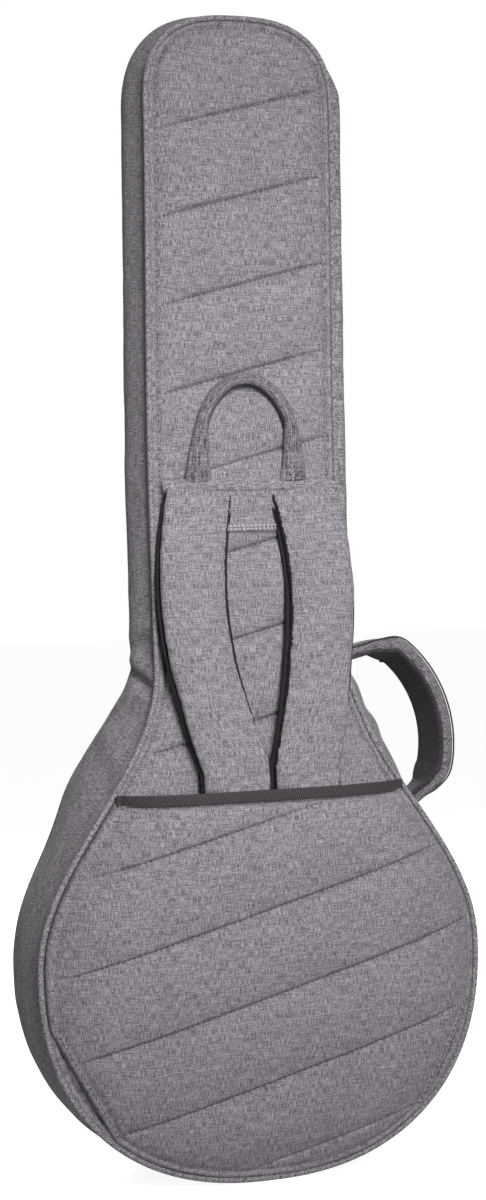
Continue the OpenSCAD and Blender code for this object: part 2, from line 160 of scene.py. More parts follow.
@dataclass
class BagShape:
    """The outline of the bag seen from its back, and its depth."""

    width: float = 0.394
    neck: float = 0.174
    height: float = 1.009
    bout_z: float = 0.190
    shoulder_z: float = 0.445
    bout_power: float = 2.3
    top_power: float = 2.7
    top_rise: float = 0.078
    body_depth: float = 0.110
    neck_depth: float = 0.072
    ramp_low: float = 0.330
    ramp_high: float = 0.455
    shoulder_fill: float = 0.0
    lean: float = 0.0070
    narrowed: float = 0.0
    held: float = 0.0
    _s: Array = field(init=False, repr=False)
    _rows: Array = field(init=False, repr=False)
    length: float = field(init=False)

    def __post_init__(self) -> None:
        """Measures the edge once, so that any share of its length can be looked up."""
        t = np.linspace(0, math.pi / 2, 500)
        bout = stacked(self.width / 2 * np.sin(t) ** (2 / self.bout_power),
                       self.bout_z * (1 - np.cos(t) ** (2 / self.bout_power)))
        z = np.linspace(self.bout_z, self.shoulder_z, 400)[1:]
        flank = stacked(self.half_width(z), z)
        top = stacked(self.neck / 2 * np.cos(t) ** (2 / self.top_power),
                      self.height - self.top_rise + self.top_rise * np.sin(t) ** (2 / self.top_power))
        half = np.concatenate([bout, flank, top])
        loop = np.concatenate([half, half[-2:0:-1] * [-1, 1], half[:1]])
        steps = np.linalg.norm(np.diff(loop, axis=0), axis=1)
        s = np.concatenate([[0], np.cumsum(steps)])
        self.length = float(s[-1])
        even = np.linspace(0, 1, 2401)
        self._s = even
        z = np.interp(even * self.length, s, loop[:, 1])
        x = np.interp(even * self.length, s, loop[:, 0])
        drawn = np.clip((z - 0.40) / 0.08, 0, 1) * self.narrowed
        beside = np.clip(0.5 + x / self.neck, 0, 1)
        x = x + self.leaning(z) * (1 - self.held * beside) - drawn * beside
        ahead = stacked(np.roll(x[:-1], -2) - np.roll(x[:-1], 2), np.roll(z[:-1], -2) - np.roll(z[:-1], 2))
        ahead = np.concatenate([ahead, ahead[:1]])
        ahead /= np.linalg.norm(ahead, axis=1)[:, None]
        self._rows = stacked(x, z, ahead[:, 1], -ahead[:, 0])

    def half_width(self, z: Array) -> Array:
        """Half the bag's width at each height."""
        z = np.asarray(z, float)
        low = np.clip((self.bout_z - z) / self.bout_z, 0, 1)
        bout = self.width / 2 * (1 - low ** self.bout_power) ** (1 / self.bout_power)
        turn = np.clip((z - self.bout_z) / (self.shoulder_z - self.bout_z), 0, 1)
        flank = self.neck / 2 + (self.width - self.neck) / 4 * (1 + np.cos(math.pi * turn))
        spread = self.shoulder_fill * np.exp(-((z - 0.357) / 0.052) ** 2)
        return np.where(z < self.bout_z, bout, flank) + spread

    def leaning(self, z: Array) -> Array:
        """How far the soft neck leans towards the handle side at each height."""
        return self.lean * eased(np.clip((z - 0.58) / 0.40, 0, 1))

    def front(self, z: Array) -> Array:
        """Depth of the bag at each height."""
        share = np.clip((z - self.ramp_low) / (self.ramp_high - self.ramp_low), 0, 1)
        return self.body_depth + (self.neck_depth - self.body_depth) * share

    def edge(self, s: Array, grow: Array | float = 0.0) -> Pair:
        """Points along the edge, from the lowest point up the handle side and back down.

        Args:
            s: Share of the edge's length, which wraps round at 1.
            grow: Distance outside the outline.

        Returns:
            The x and z of each point.
        """
        s = np.mod(s, 1.0)
        x, z, out_x, out_z = (np.interp(s, self._s, self._rows[:, k]) for k in range(4))
        return x + grow * out_x, z + grow * out_z

    def share_at(self, z: float, low: float = 0.0, high: float = 0.5) -> float:
        """Share of the edge's length at a height on the handle side."""
        even = np.linspace(low, high, 4001)
        heights = self.edge(even)[1]
        return float(even[int(np.argmin(np.abs(heights - z)))])

    def inside(self, x: Array, z: Array) -> Array:
        """Distance of each point from the edge."""
        rim = self._rows[::3, :2]
        found = np.empty(len(x))
        for start in range(0, len(x), 4000):
            part = slice(start, start + 4000)
            gap = (x[part, None] - rim[None, :, 0]) ** 2 + (z[part, None] - rim[None, :, 1]) ** 2
            found[part] = np.sqrt(gap.min(1))
        return found

    def fill(self, u: Array, v: Array, inset: float) -> Pair:
        """Spreads a square grid over the whole outline, with no pinched corner.

        Args:
            u: Share across, from the left edge to the right.
            v: Share up, from the bottom to the top.
            inset: Distance kept inside the edge.

        Returns:
            The x and z of each point.
        """
        low = self.share_at(0.050, 0.0, 0.25)
        high = self.share_at(0.985, 0.25, 0.5)
        u, v = graded(u), graded(v)

        def bottom(a: Array) -> Array:
            """The low edge of the patch."""
            return np.stack(self.edge(low * (2 * a - 1), -inset), 1)

        def top(a: Array) -> Array:
            """The high edge of the patch."""
            return np.stack(self.edge(0.5 + (0.5 - high) * (1 - 2 * a), -inset), 1)

        def right(b: Array) -> Array:
            """The right edge, from low to high."""
            return np.stack(self.edge(low + (high - low) * b, -inset), 1)

        def left(b: Array) -> Array:
            """The left edge, from low to high."""
            return np.stack(self.edge(-(low + (high - low) * b), -inset), 1)

        return patch(u, v, bottom, right, top, left)


def graded(share: Array) -> Array:
    """Crowds an even spacing of 0 to 1 towards both ends."""
    return 0.4 * share + 0.3 * (1 - np.cos(math.pi * share))


def patch(u: Array, v: Array, bottom: Callable, right: Callable, top: Callable, left: Callable
          ) -> Pair:
    """A grid stretched between four edges that meet at its corners.

    Args:
        u: Share across.
        v: Share up.
        bottom: Edge from left to right at the bottom.
        right: Edge from bottom to top on the right.
        top: Edge from left to right at the top.
        left: Edge from bottom to top on the left.

    Returns:
        The x and z of each point.
    """
    a, b = u[:, None], v[:, None]
    zero, one = np.zeros(1), np.ones(1)
    corners = ((1 - a) * (1 - b) * bottom(zero) + a * (1 - b) * bottom(one)
               + (1 - a) * b * top(zero) + a * b * top(one))
    found = (1 - b) * bottom(u) + b * top(u) + (1 - a) * left(v) + a * right(v) - corners
    return found[:, 0], found[:, 1]


BAG = BagShape(narrowed=0.0085)
FRONT = BagShape(shoulder_fill=0.019, held=1.0)


# ---------------------------------------------------------------- meshes


def new_object(name: str, bm: bmesh.types.BMesh) -> bpy.types.Object:
    """Turns a finished bmesh in the bag's own places into a smooth object in the row frame."""
    bmesh.ops.translate(bm, verts=bm.verts, vec=ORIGIN)
    for face in bm.faces:
        face.smooth = True
    mesh = bpy.data.meshes.new(name)
    bm.to_mesh(mesh)
    bm.free()
    piece = bpy.data.objects.new(name, mesh)
    bpy.context.scene.collection.objects.link(piece)
    return piece


def mapped(columns: int, rows: int, mapping: Mapping, closed: bool = False,
           outward: Vector | None = None, caps: bool = False) -> bmesh.types.BMesh:
    """Shapes a flat grid into a sheet, ring or tube, and gives it cloth coordinates.

    Args:
        columns: Cells across.
        rows: Cells along.
        mapping: Gives each (u, v) its place and its cloth coordinates in metres.
        closed: True where opposite sides of the grid meet and are joined.
        outward: Rough direction that an open sheet faces.
        caps: True to close the two open ends of a tube.

    Returns:
        The shaped bmesh.
    """
    bm = bmesh.new()
    bmesh.ops.create_grid(bm, x_segments=columns, y_segments=rows, size=0.5)
    bm.verts.ensure_lookup_table()
    flat = np.array([v.co[:2] for v in bm.verts]) + 0.5
    places, cloth = mapping(np.clip(flat[:, 0], 0, 1), np.clip(flat[:, 1], 0, 1))
    layer = bm.loops.layers.uv.new(CLOTH_UV)
    for face in bm.faces:
        for loop in face.loops:
            loop[layer].uv = cloth[loop.vert.index]
    for vert, place in zip(bm.verts, places):
        vert.co = place
    if closed:
        bmesh.ops.remove_doubles(bm, verts=bm.verts, dist=1e-6)
    if caps:
        bmesh.ops.holes_fill(bm, edges=[e for e in bm.edges if e.is_boundary], sides=0)
    bm.normal_update()
    if outward is None:
        bmesh.ops.recalc_face_normals(bm, faces=bm.faces)
    elif sum((f.normal * f.calc_area() for f in bm.faces), Vector()).dot(outward) < 0:
        bmesh.ops.reverse_faces(bm, faces=bm.faces)
    return bm


def sweep_frame(line: Array, up: Array) -> tuple[Array, Array, Array]:
    """Directions along a line.

    Args:
        line: Points along the line.
        up: Rough second direction at each point.

    Returns:
        Unit vectors ahead, along up and across, one row each.
    """
    ahead = np.gradient(line, axis=0)
    ahead /= np.linalg.norm(ahead, axis=1)[:, None]
    side = np.cross(ahead, up)
    side /= np.linalg.norm(side, axis=1)[:, None]
    return ahead, np.cross(side, ahead), side


@dataclass
class Sweep:
    """A closed section carried along a line, such as a cord, strap or handle."""

    line: Line
    up: Line
    half_side: Line
    half_up: Line
    power: float = 2.0
    length: float = 1.0
    ring: bool = False

    def mesh(self, around: int, along: int) -> bmesh.types.BMesh:
        """The swept tube, with round caps where it isn't a ring."""
        v_line = np.linspace(0, 1, along + 1)
        points, ups = self.line(v_line), self.up(v_line)
        ahead, up, side = sweep_frame(points, ups)
        if self.ring:
            ahead, up, side = sweep_frame(np.concatenate([points[-2:-1], points, points[1:2]]),
                                          np.concatenate([ups[-2:-1], ups, ups[1:2]]))
            up, side = up[1:-1], side[1:-1]

        def mapping(u: Array, v: Array) -> Pair:
            """Place and cloth coordinates of one point."""
            row = np.rint(v * along).astype(int)
            turn = 2 * math.pi * u
            c, s = np.cos(turn), np.sin(turn)
            across = np.sign(c) * np.abs(c) ** (2 / self.power) * self.half_side(v)
            lift = np.sign(s) * np.abs(s) ** (2 / self.power) * self.half_up(v)
            place = points[row] + across[:, None] * side[row] + lift[:, None] * up[row]
            girth = 2 * (self.half_side(v) + self.half_up(v))
            return place, stacked(u * girth, v * self.length)

        return mapped(around, along, mapping, closed=True, caps=not self.ring)


def add_modifier(piece: bpy.types.Object, kind: str, **values: object) -> None:
    """Adds a modifier with the given settings."""
    modifier = piece.modifiers.new(kind.title(), kind)
    for key, value in values.items():
        setattr(modifier, key, value)


def thicken(piece: bpy.types.Object, thickness: float) -> None:
    """Gives a sheet its real thickness, on its inner side."""
    add_modifier(piece, "SOLIDIFY", thickness=thickness, offset=-1.0)


def smoother(piece: bpy.types.Object, levels: int = 1) -> None:
    """Adds a subdivision surface."""
    add_modifier(piece, "SUBSURF", levels=levels, render_levels=levels)


def baked(piece: bpy.types.Object) -> bpy.types.Object:
    """Applies every modifier of a piece."""
    graph = bpy.context.evaluated_depsgraph_get()
    mesh = bpy.data.meshes.new_from_object(piece.evaluated_get(graph))
    old = piece.data
    piece.modifiers.clear()
    piece.data = mesh
    bpy.data.meshes.remove(old)
    return piece


def places_of(piece: bpy.types.Object) -> Array:
    """The places of a piece's points, in the row frame."""
    found = np.empty(len(piece.data.vertices) * 3)
    piece.data.vertices.foreach_get("co", found)
    return found.reshape(-1, 3)


def set_places(piece: bpy.types.Object, places: Array) -> None:
    """Moves a piece's points."""
    piece.data.vertices.foreach_set("co", places.astype(np.float32).ravel())
    piece.data.update()


@dataclass(frozen=True)
class Inflation:
    """How a padded piece is filled by a short cloth simulation."""

    voxel: float = 0.004
    pressure: float = 4.0
    cap: float = 0.004
    frames: int = 20

    def fill(self, piece: bpy.types.Object, held: Line | None = None) -> None:
        """Remeshes a closed piece and lets pressure round it.

        Args:
            piece: The closed starting shape, a little smaller than the pad.
            held: Gives each row-frame point how firmly stitching holds it, from 0 to 1.
        """
        add_modifier(piece, "REMESH", mode="VOXEL", voxel_size=self.voxel)
        baked(piece)
        add_modifier(piece, "SMOOTH", factor=0.5, iterations=3)
        baked(piece)
        start = places_of(piece)
        group = piece.vertex_groups.new(name="held")
        if held is not None:
            for index, weight in enumerate(held(start)):
                if weight > 0:
                    group.add([index], float(weight), "REPLACE")
        cloth = piece.modifiers.new("Cloth", "CLOTH")
        cloth.settings.quality = 5
        cloth.settings.use_pressure = True
        cloth.settings.uniform_pressure_force = self.pressure
        cloth.settings.effector_weights.gravity = 0.0
        if held is not None:
            cloth.settings.vertex_group_mass = "held"
        for step in range(1, self.frames + 1):
            bpy.context.scene.frame_set(step)
        baked(piece)
        bpy.context.scene.frame_set(1)
        moved = places_of(piece) - start
        far = np.linalg.norm(moved, axis=1)
        scale = np.minimum(1.0, self.cap / np.maximum(far, 1e-9))
        set_places(piece, start + moved * scale[:, None])
        for polygon in piece.data.polygons:
            polygon.use_smooth = True
        smoother(piece)
        baked(piece)


def lay_cloth(piece: bpy.types.Object, unroll: Line) -> None:
    """Gives a remeshed piece cloth coordinates again.

    Args:
        piece: The piece, with its modifiers applied.
        unroll: Turns row-frame places into cloth coordinates in metres.
    """
    cloth = unroll(places_of(piece))
    layer = piece.data.uv_layers.get(CLOTH_UV) or piece.data.uv_layers.new(name=CLOTH_UV)
    corners = np.empty(len(piece.data.loops), np.int32)
    piece.data.loops.foreach_get("vertex_index", corners)
    layer.data.foreach_set("uv", cloth[corners].astype(np.float32).ravel())


def join(name: str, parts: list[bpy.types.Object]) -> bpy.types.Object:
    """Joins finished parts of one piece into one object.

    Args:
        name: Name of the joined piece.
        parts: Objects with their modifiers applied.

    Returns:
        The joined piece.
    """
    bm = bmesh.new()
    slots: list[bpy.types.Material] = []
    for part in parts:
        shift = len(bm.faces)
        bm.from_mesh(part.data)
        bm.faces.ensure_lookup_table()
        local = [m for m in part.data.materials]
        for face in bm.faces[shift:]:
            material = local[face.material_index] if local else None
            if material is not None:
                if material not in slots:
                    slots.append(material)
                face.material_index = slots.index(material)
    mesh = bpy.data.meshes.new(name)
    bm.to_mesh(mesh)
    bm.free()
    for material in slots:
        mesh.materials.append(material)
    piece = bpy.data.objects.new(name, mesh)
    bpy.context.scene.collection.objects.link(piece)
    for part in parts:
        bpy.data.objects.remove(part)
    return piece


@dataclass(frozen=True)
class StitchRow:
    """A row of thread stitches."""

    pitch: float = 0.0048
    length: float = 0.0028
    radius: float = 0.00062

    def sew(self, name: str, line: Array, outward: Array) -> bpy.types.Object:
        """Sews along a line on a surface.

        Args:
            name: Name of the piece.
            line: Closely spaced points on the surface, in the bag's own places.
            outward: Direction away from the cloth at each point.

        Returns:
            The row of stitches.
        """
        steps = np.linalg.norm(np.diff(line, axis=0), axis=1)
        along = np.concatenate([[0], np.cumsum(steps)])
        count = max(2, int(along[-1] / self.pitch))
        at = (np.arange(count) + 0.5) * along[-1] / count

        def along_line(values: Array, places: Array) -> Array:
            """The row at the given places along it."""
            return stacked(*(np.interp(places, along, values[:, k]) for k in range(3)))

        middle, out = along_line(line, at), along_line(outward, at)
        ahead = along_line(line, at + 1e-3) - along_line(line, at - 1e-3)
        bm = bmesh.new()
        for place, run, away in zip(middle, ahead, out):
            x = Vector(run).normalized()
            z = Vector(away).normalized()
            y = z.cross(x).normalized()
            turn = Matrix((x, y, x.cross(y))).transposed().to_4x4()
            size = Matrix.Diagonal((self.length / 2, self.radius, self.radius, 1.0))
            shift = Matrix.Translation(Vector(place) + z * self.radius * 0.2)
            bmesh.ops.create_uvsphere(bm, u_segments=6, v_segments=4, radius=1.0, matrix=shift @ turn @ size)
        return new_object(name, bm)


# ---------------------------------------------------------------- finishes


class Nodes:
    """Short ways to add and join shader nodes in one material."""

    def __init__(self, name: str) -> None:
        """Starts a material with one shader.

        Args:
            name: Name of the material.
        """
        self.material = bpy.data.materials.new(name)
        self.material.use_nodes = True
        self.tree = self.material.node_tree
        self.shader = self.tree.nodes["Principled BSDF"]

    def add(self, kind: str, **values: object) -> bpy.types.Node:
        """A new node with the given settings."""
        node = self.tree.nodes.new(kind)
        for key, value in values.items():
            setattr(node, key, value)
        return node

    def plug(self, source: bpy.types.NodeSocket | float, target: bpy.types.NodeSocket) -> None:
        """Joins a socket, or sets a number."""
        if isinstance(source, (int, float)):
            target.default_value = source
        else:
            self.tree.links.new(source, target)

    def math(self, operation: str, first: bpy.types.NodeSocket | float,
             second: bpy.types.NodeSocket | float = 0.0) -> bpy.types.NodeSocket:
        """The result of a sum on one or two values."""
        node = self.add("ShaderNodeMath", operation=operation)
        self.plug(first, node.inputs[0])
        self.plug(second, node.inputs[1])
        return node.outputs[0]

    def line(self, value: bpy.types.NodeSocket, times: float, plus: bpy.types.NodeSocket | float
             ) -> bpy.types.NodeSocket:
        """A value times a number, plus another value."""
        return self.math("ADD", self.math("MULTIPLY", value, times), plus)

    def cloth_place(self) -> bpy.types.NodeSocket:
        """The piece's own cloth coordinates, in metres."""
        return self.add("ShaderNodeUVMap", uv_map=CLOTH_UV).outputs["UV"]

    def object_place(self) -> bpy.types.NodeSocket:
        """The place in the row frame, in metres."""
        return self.add("ShaderNodeTexCoord").outputs["Object"]

    def noise(self, place: bpy.types.NodeSocket, per_metre: tuple[float, float, float],
              detail: float = 2.0, shift: float = 0.0) -> bpy.types.NodeSocket:
        """Noise with its own number of grains a metre each way."""
        mapping = self.add("ShaderNodeMapping")
        mapping.inputs["Scale"].default_value = per_metre
        mapping.inputs["Location"].default_value = (shift, shift * 0.7, shift * 1.3)
        self.plug(place, mapping.inputs["Vector"])
        texture = self.add("ShaderNodeTexNoise")
        texture.inputs["Scale"].default_value = 1.0
        texture.inputs["Detail"].default_value = detail
        self.plug(mapping.outputs[0], texture.inputs["Vector"])
        return texture.outputs[0]

    def ramp(self, value: bpy.types.NodeSocket, stops: list[tuple[float, Colour]]) -> bpy.types.NodeSocket:
        """Colours along a value."""
        node = self.add("ShaderNodeValToRGB")
        elements = node.color_ramp.elements
        while len(elements) < len(stops):
            elements.new(0.5)
        for element, (place, colour) in zip(elements, stops):
            element.position = place
            element.color = (*colour, 1.0)
        self.plug(value, node.inputs[0])
        return node.outputs[0]

    def mix(self, share: bpy.types.NodeSocket | float, first: bpy.types.NodeSocket,
            second: bpy.types.NodeSocket) -> bpy.types.NodeSocket:
        """A blend of two values."""
        node = self.add("ShaderNodeMix", data_type="FLOAT")
        self.plug(share, node.inputs[0])
        self.plug(first, node.inputs[2])
        self.plug(second, node.inputs[3])
        return node.outputs[0]

    def tint(self, colour: bpy.types.NodeSocket, factor: bpy.types.NodeSocket) -> bpy.types.NodeSocket:
        """A colour made lighter or darker by a factor."""
        node = self.add("ShaderNodeVectorMath", operation="SCALE")
        self.plug(colour, node.inputs[0])
        self.plug(factor, node.inputs["Scale"])
        return node.outputs[0]

    def bump(self, height: bpy.types.NodeSocket, depth: float, strength: float) -> None:
        """Raises the surface by a height."""
        node = self.add("ShaderNodeBump")
        node.inputs["Strength"].default_value = strength
        node.inputs["Distance"].default_value = depth
        self.plug(height, node.inputs["Height"])
        self.plug(node.outputs[0], self.shader.inputs["Normal"])

    def finish(self, colour: bpy.types.NodeSocket, roughness: bpy.types.NodeSocket | float,
               sheen: float = 0.0, metallic: float = 0.0, specular: float = 0.3) -> bpy.types.Material:
        """Plugs colour and roughness in and sets the constant values."""
        self.plug(colour, self.shader.inputs["Base Color"])
        self.plug(roughness, self.shader.inputs["Roughness"])
        self.shader.inputs["Sheen Weight"].default_value = sheen
        self.shader.inputs["Metallic"].default_value = metallic
        self.shader.inputs["Specular IOR Level"].default_value = specular
        return self.material


@dataclass(frozen=True)
class HeatherCloth:
    """Plain-woven melange polyester: yarns of several greys, spun unevenly."""

    name: str
    dark: Colour = (0.090, 0.080, 0.096)
    middle: Colour = (0.235, 0.217, 0.242)
    light: Colour = (0.480, 0.455, 0.485)
    yarn: float = 0.00044
    slub: float = 0.0080
    speck: float = 0.00042
    depth: float = 0.00030

    def make(self) -> bpy.types.Material:
        """Builds the material."""
        n = Nodes(self.name)
        place = n.cloth_place()
        warp = n.noise(place, (1 / self.yarn, 1 / self.slub, 1.0), 2.0)
        weft = n.noise(place, (1 / self.slub, 1 / self.yarn, 1.0), 2.0, 7.3)
        speck = n.noise(place, (1 / self.speck, 1 / self.speck, 1.0), 2.0, 11.9)
        split = n.add("ShaderNodeSeparateXYZ")
        n.plug(place, split.inputs[0])
        across = n.math("SINE", n.math("MULTIPLY", split.outputs[0], math.pi / self.yarn))
        along = n.math("SINE", n.math("MULTIPLY", split.outputs[1], math.pi / self.yarn))
        weave = n.line(n.math("MULTIPLY", across, along), 0.5, 0.5)
        yarns = n.mix(0.45, n.mix(0.36, warp, weft), speck)
        colour = n.ramp(yarns, [(0.435, self.dark), (0.50, self.middle), (0.565, self.light)])
        blotch = n.noise(n.object_place(), (28.0, 28.0, 28.0), 3.0)
        wear = n.line(blotch, 0.24, 0.88)
        fuzz = n.noise(place, (2600.0, 2600.0, 1.0), 2.0, 3.1)
        height = n.line(weave, 0.55, n.math("MULTIPLY", fuzz, 0.45))
        n.bump(height, self.depth, 0.55)
        rough = n.line(fuzz, 0.16, 0.78)
        return n.finish(n.tint(colour, wear), rough, sheen=0.12, specular=0.22)


@dataclass(frozen=True)
class Webbing:
    """Ribbed woven tape, with slanting ribs as on grosgrain and twill binding."""

    name: str
    base: Colour = (0.014, 0.012, 0.014)
    rib: Colour = (0.085, 0.075, 0.085)
    pitch: float = 0.0022
    slant: float = 0.9

    def make(self) -> bpy.types.Material:
        """Builds the material."""
        n = Nodes(self.name)
        split = n.add("ShaderNodeSeparateXYZ")
        place = n.cloth_place()
        n.plug(place, split.inputs[0])
        skewed = n.math("ADD", split.outputs[1], n.math("MULTIPLY", split.outputs[0], self.slant))
        wave = n.math("SINE", n.math("MULTIPLY", skewed, 2 * math.pi / self.pitch))
        rib = n.line(wave, 0.5, 0.5)
        fibre = n.noise(place, (2200.0, 900.0, 1.0), 3.0)
        mixed = n.line(rib, 0.6, n.math("MULTIPLY", fibre, 0.4))
        colour = n.ramp(mixed, [(0.25, self.base), (0.75, self.rib)])
        n.bump(mixed, 0.0003, 0.6)
        rough = n.line(fibre, 0.2, 0.62)
        return n.finish(colour, rough, sheen=0.08)


@dataclass(frozen=True)
class Lining:
    """Brushed knit or mesh lining, with small cells."""

    name: str
    base: Colour = (0.010, 0.008, 0.010)
    raised: Colour = (0.038, 0.033, 0.037)
    cell: float = 0.0022

    def make(self) -> bpy.types.Material:
        """Builds the material."""
        n = Nodes(self.name)
        place = n.cloth_place()
        voronoi = n.add("ShaderNodeTexVoronoi", feature="F1")
        voronoi.inputs["Scale"].default_value = 1 / self.cell
        n.plug(place, voronoi.inputs["Vector"])
        nap = n.noise(place, (900.0, 900.0, 1.0), 3.0)
        cells = n.line(voronoi.outputs["Distance"], 0.5, n.math("MULTIPLY", nap, 0.5))
        colour = n.ramp(cells, [(0.25, self.base), (0.75, self.raised)])
        n.bump(cells, 0.0004, 0.5)
        rough = n.line(nap, 0.15, 0.82)
        return n.finish(colour, rough, sheen=0.06, specular=0.15)


@dataclass(frozen=True)
class Moulded:
    """Moulded plastic or plated metal with a fine uneven surface."""

    name: str
    base: Colour
    roughness: float
    metallic: float = 0.0

    def make(self) -> bpy.types.Material:
        """Builds the material."""
        n = Nodes(self.name)
        place = n.object_place()
        grain = n.noise(place, (1400.0, 1400.0, 1400.0), 3.0)
        smear = n.noise(place, (60.0, 60.0, 200.0), 3.0, 2.0)
        darker = tuple(0.7 * c for c in self.base)
        lighter = tuple(min(1.0, 1.35 * c + 0.01) for c in self.base)
        colour = n.ramp(smear, [(0.3, darker), (0.7, lighter)])
        n.bump(grain, 0.00006, 0.4)
        rough = n.line(smear, 0.25, self.roughness - 0.12)
        return n.finish(colour, rough, metallic=self.metallic, specular=0.45)


@dataclass(frozen=True)
class Thread:
    """Twisted sewing thread."""

    name: str
    base: Colour

    def make(self) -> bpy.types.Material:
        """Builds the material."""
        n = Nodes(self.name)
        twist = n.noise(n.object_place(), (1800.0, 1800.0, 1800.0), 2.0)
        darker = tuple(0.6 * c for c in self.base)
        colour = n.ramp(twist, [(0.3, darker), (0.7, self.base)])
        n.bump(twist, 0.0001, 0.5)
        return n.finish(colour, 0.6, sheen=0.1)


class Finish(Enum):
    """The finishes used on the bag, by the record's material slots and a few of their variants."""

    CLOTH = "outer_cloth"
    PIPING = "piping_cloth"
    # Darker copy of the outer cloth: painted shade for cloth that sits in shadow (slit insides, haul loop
    # roll, side handle).
    SHADED_CLOTH = "shaded_cloth"
    LINING = "lining"
    PADDED_LINING = "padded_lining"
    PLUSH = "plush_lining"
    WEBBING = "webbing"
    COIL = "zip_coil"
    METAL = "zip_metal"
    PLASTIC = "buckle_plastic"
    THREAD = "grey_thread"
    LIGHT_THREAD = "light_thread"


RECIPES = {
    Finish.CLOTH: HeatherCloth("outer_cloth"),
    Finish.PIPING: HeatherCloth("piping_cloth", yarn=0.0007, slub=0.0026),
    # The outer cloth darkened throughout as painted shade.
    Finish.SHADED_CLOTH: HeatherCloth("shaded_cloth", dark=(0.050, 0.044, 0.054), middle=(0.155, 0.142, 0.160),
                                light=(0.350, 0.330, 0.355)),
    Finish.LINING: Lining("lining"),
    Finish.PADDED_LINING: Lining("padded_lining", base=(0.030, 0.026, 0.030), raised=(0.075, 0.068, 0.075)),
    Finish.PLUSH: Lining("plush_lining", base=(0.050, 0.046, 0.053), raised=(0.110, 0.103, 0.115),
                         cell=0.0035),
    Finish.WEBBING: Webbing("webbing"),
    Finish.COIL: Moulded("zip_coil", (0.035, 0.034, 0.037), 0.42),
    Finish.METAL: Moulded("zip_metal", (0.090, 0.088, 0.092), 0.34, 1.0),
    Finish.PLASTIC: Moulded("buckle_plastic", (0.030, 0.029, 0.030), 0.45),
    Finish.THREAD: Thread("grey_thread", (0.085, 0.078, 0.090)),
    Finish.LIGHT_THREAD: Thread("light_thread", (0.74, 0.72, 0.75)),
}

MADE: dict[Finish, bpy.types.Material] = {}


def material(finish: Finish) -> bpy.types.Material:
    """The material of a finish, built once."""
    if finish not in MADE:
        MADE[finish] = RECIPES[finish].make()
    return MADE[finish]


def dress(piece: bpy.types.Object, finish: Finish) -> bpy.types.Object:
    """Gives a piece its material."""
    piece.data.materials.clear()
    piece.data.materials.append(material(finish))
    return piece


def on_body(piece: bpy.types.Object, body: str, *nodes: str) -> bpy.types.Object:
    """Makes a piece ride on a body and stand for CAD nodes."""
    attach(piece, body)
    if nodes:
        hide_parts(*nodes)
    LOG.info("%s rides on %s", piece.name, body)
    return piece


def make_piece(name: str, bm: bmesh.types.BMesh, finish: Finish, body: str, *nodes: str,
               thickness: float = 0.0, fill: float | None = None) -> bpy.types.Object:
    """Makes a finished piece that rides on one body.

    Args:
        name: Name of the piece.
        bm: Its shape, in the bag's own places.
        finish: Its material.
        body: The body that it rides on.
        nodes: CAD nodes that it stands for.
        thickness: Thickness of a sheet, or 0 for a closed shape.
        fill: Not used.

    Returns:
        The piece.
    """
    piece = new_object(name, bm)
    if thickness:
        thicken(piece, thickness)
    dress(piece, finish)
    on_body(piece, body, *nodes)
    return piece


def sew_flat(x: Array, z: Array, depth: Mapping, stitches: StitchRow = StitchRow()) -> bpy.types.Object:
    """A row of stitches on a surface that faces backwards.

    Args:
        x: Places across.
        z: Places up.
        depth: Gives each x and z its y.
        stitches: The kind of stitch.

    Returns:
        The row.
    """
    return stitches.sew("row", stacked(x, depth(x, z), z), BACKWARD(x))


def finish_rows(name: str, sewn: list[bpy.types.Object], finish: Finish) -> None:
    """Joins rows of stitches into one piece of thread on the case."""
    on_body(dress(join(name, sewn), finish), "case")


# ---------------------------------------------------------------- quilted covers


@dataclass(frozen=True)
class Quilting:
    """Slanting channels stitched through cloth and foam."""

    lines: tuple[float, ...]
    slope: float = 0.27
    puff: float = 0.0052
    soft: float = 0.015
    dent: float = 0.0030
    dent_half: float = 0.0015
    hem: float = 0.0065
    hem_dent: float = 0.0021
    crown: float = 0.0032
    cuts: tuple[float, ...] = (0.0, 0.0007, 0.0016, 0.0030, 0.0055, 0.0100)

    def cut(self, bm: bmesh.types.BMesh) -> None:
        """Cuts edges along and beside each stitched line, so that its groove keeps its shape."""
        across = Vector((-self.slope, 0, 1)).normalized()
        for line in self.lines:
            for offset in sorted({side * step for step in self.cuts for side in (-1, 1)}):
                whole = bm.verts[:] + bm.edges[:] + bm.faces[:]
                bmesh.ops.bisect_plane(bm, geom=whole, dist=1e-7, plane_no=across,
                                       plane_co=Vector((0, 0, line)) + across * offset)

    def distance(self, x: Array, z: Array) -> Array:
        """Distance of each point from the nearest stitched line."""
        across = (z - self.slope * x)[:, None] - np.array(self.lines)[None, :]
        return np.abs(across).min(1) / math.hypot(1, self.slope)

    def height(self, x: Array, z: Array, rim: Array) -> Array:
        """Height of the cloth over the flat panel.

        Args:
            x: Places across.
            z: Places up.
            rim: Distance of each point from the sewn edge.

        Returns:
            The height of each point.
        """
        near = self.distance(x, z)
        inner = np.clip(rim - self.hem, 0, None)
        rise = 1 - np.exp(-inner / 0.012)
        channel = self.puff * (1 - np.exp(-near / self.soft))
        channel -= self.dent * np.exp(-(near / self.dent_half) ** 2)
        places = level(x, z)
        pucker = 0.00045 * np.exp(-near / 0.010) * ripple(places, 0.007, 3.0)
        slack = 0.0007 * ripple(places, 0.055, 9.0) + 0.0004 * ripple(places, 0.020, 5.0)
        roll = 0.0017 * np.sin(np.clip(rim / self.hem, 0, 1) * math.pi)
        hem = -self.hem_dent * np.exp(-((rim - self.hem) / 0.0012) ** 2)
        rim_pucker = 0.0003 * np.exp(-np.abs(rim - self.hem) / 0.008) * ripple(places, 0.008, 1.0)
        return rise * (self.crown + channel + pucker + slack) + roll + hem + rim_pucker


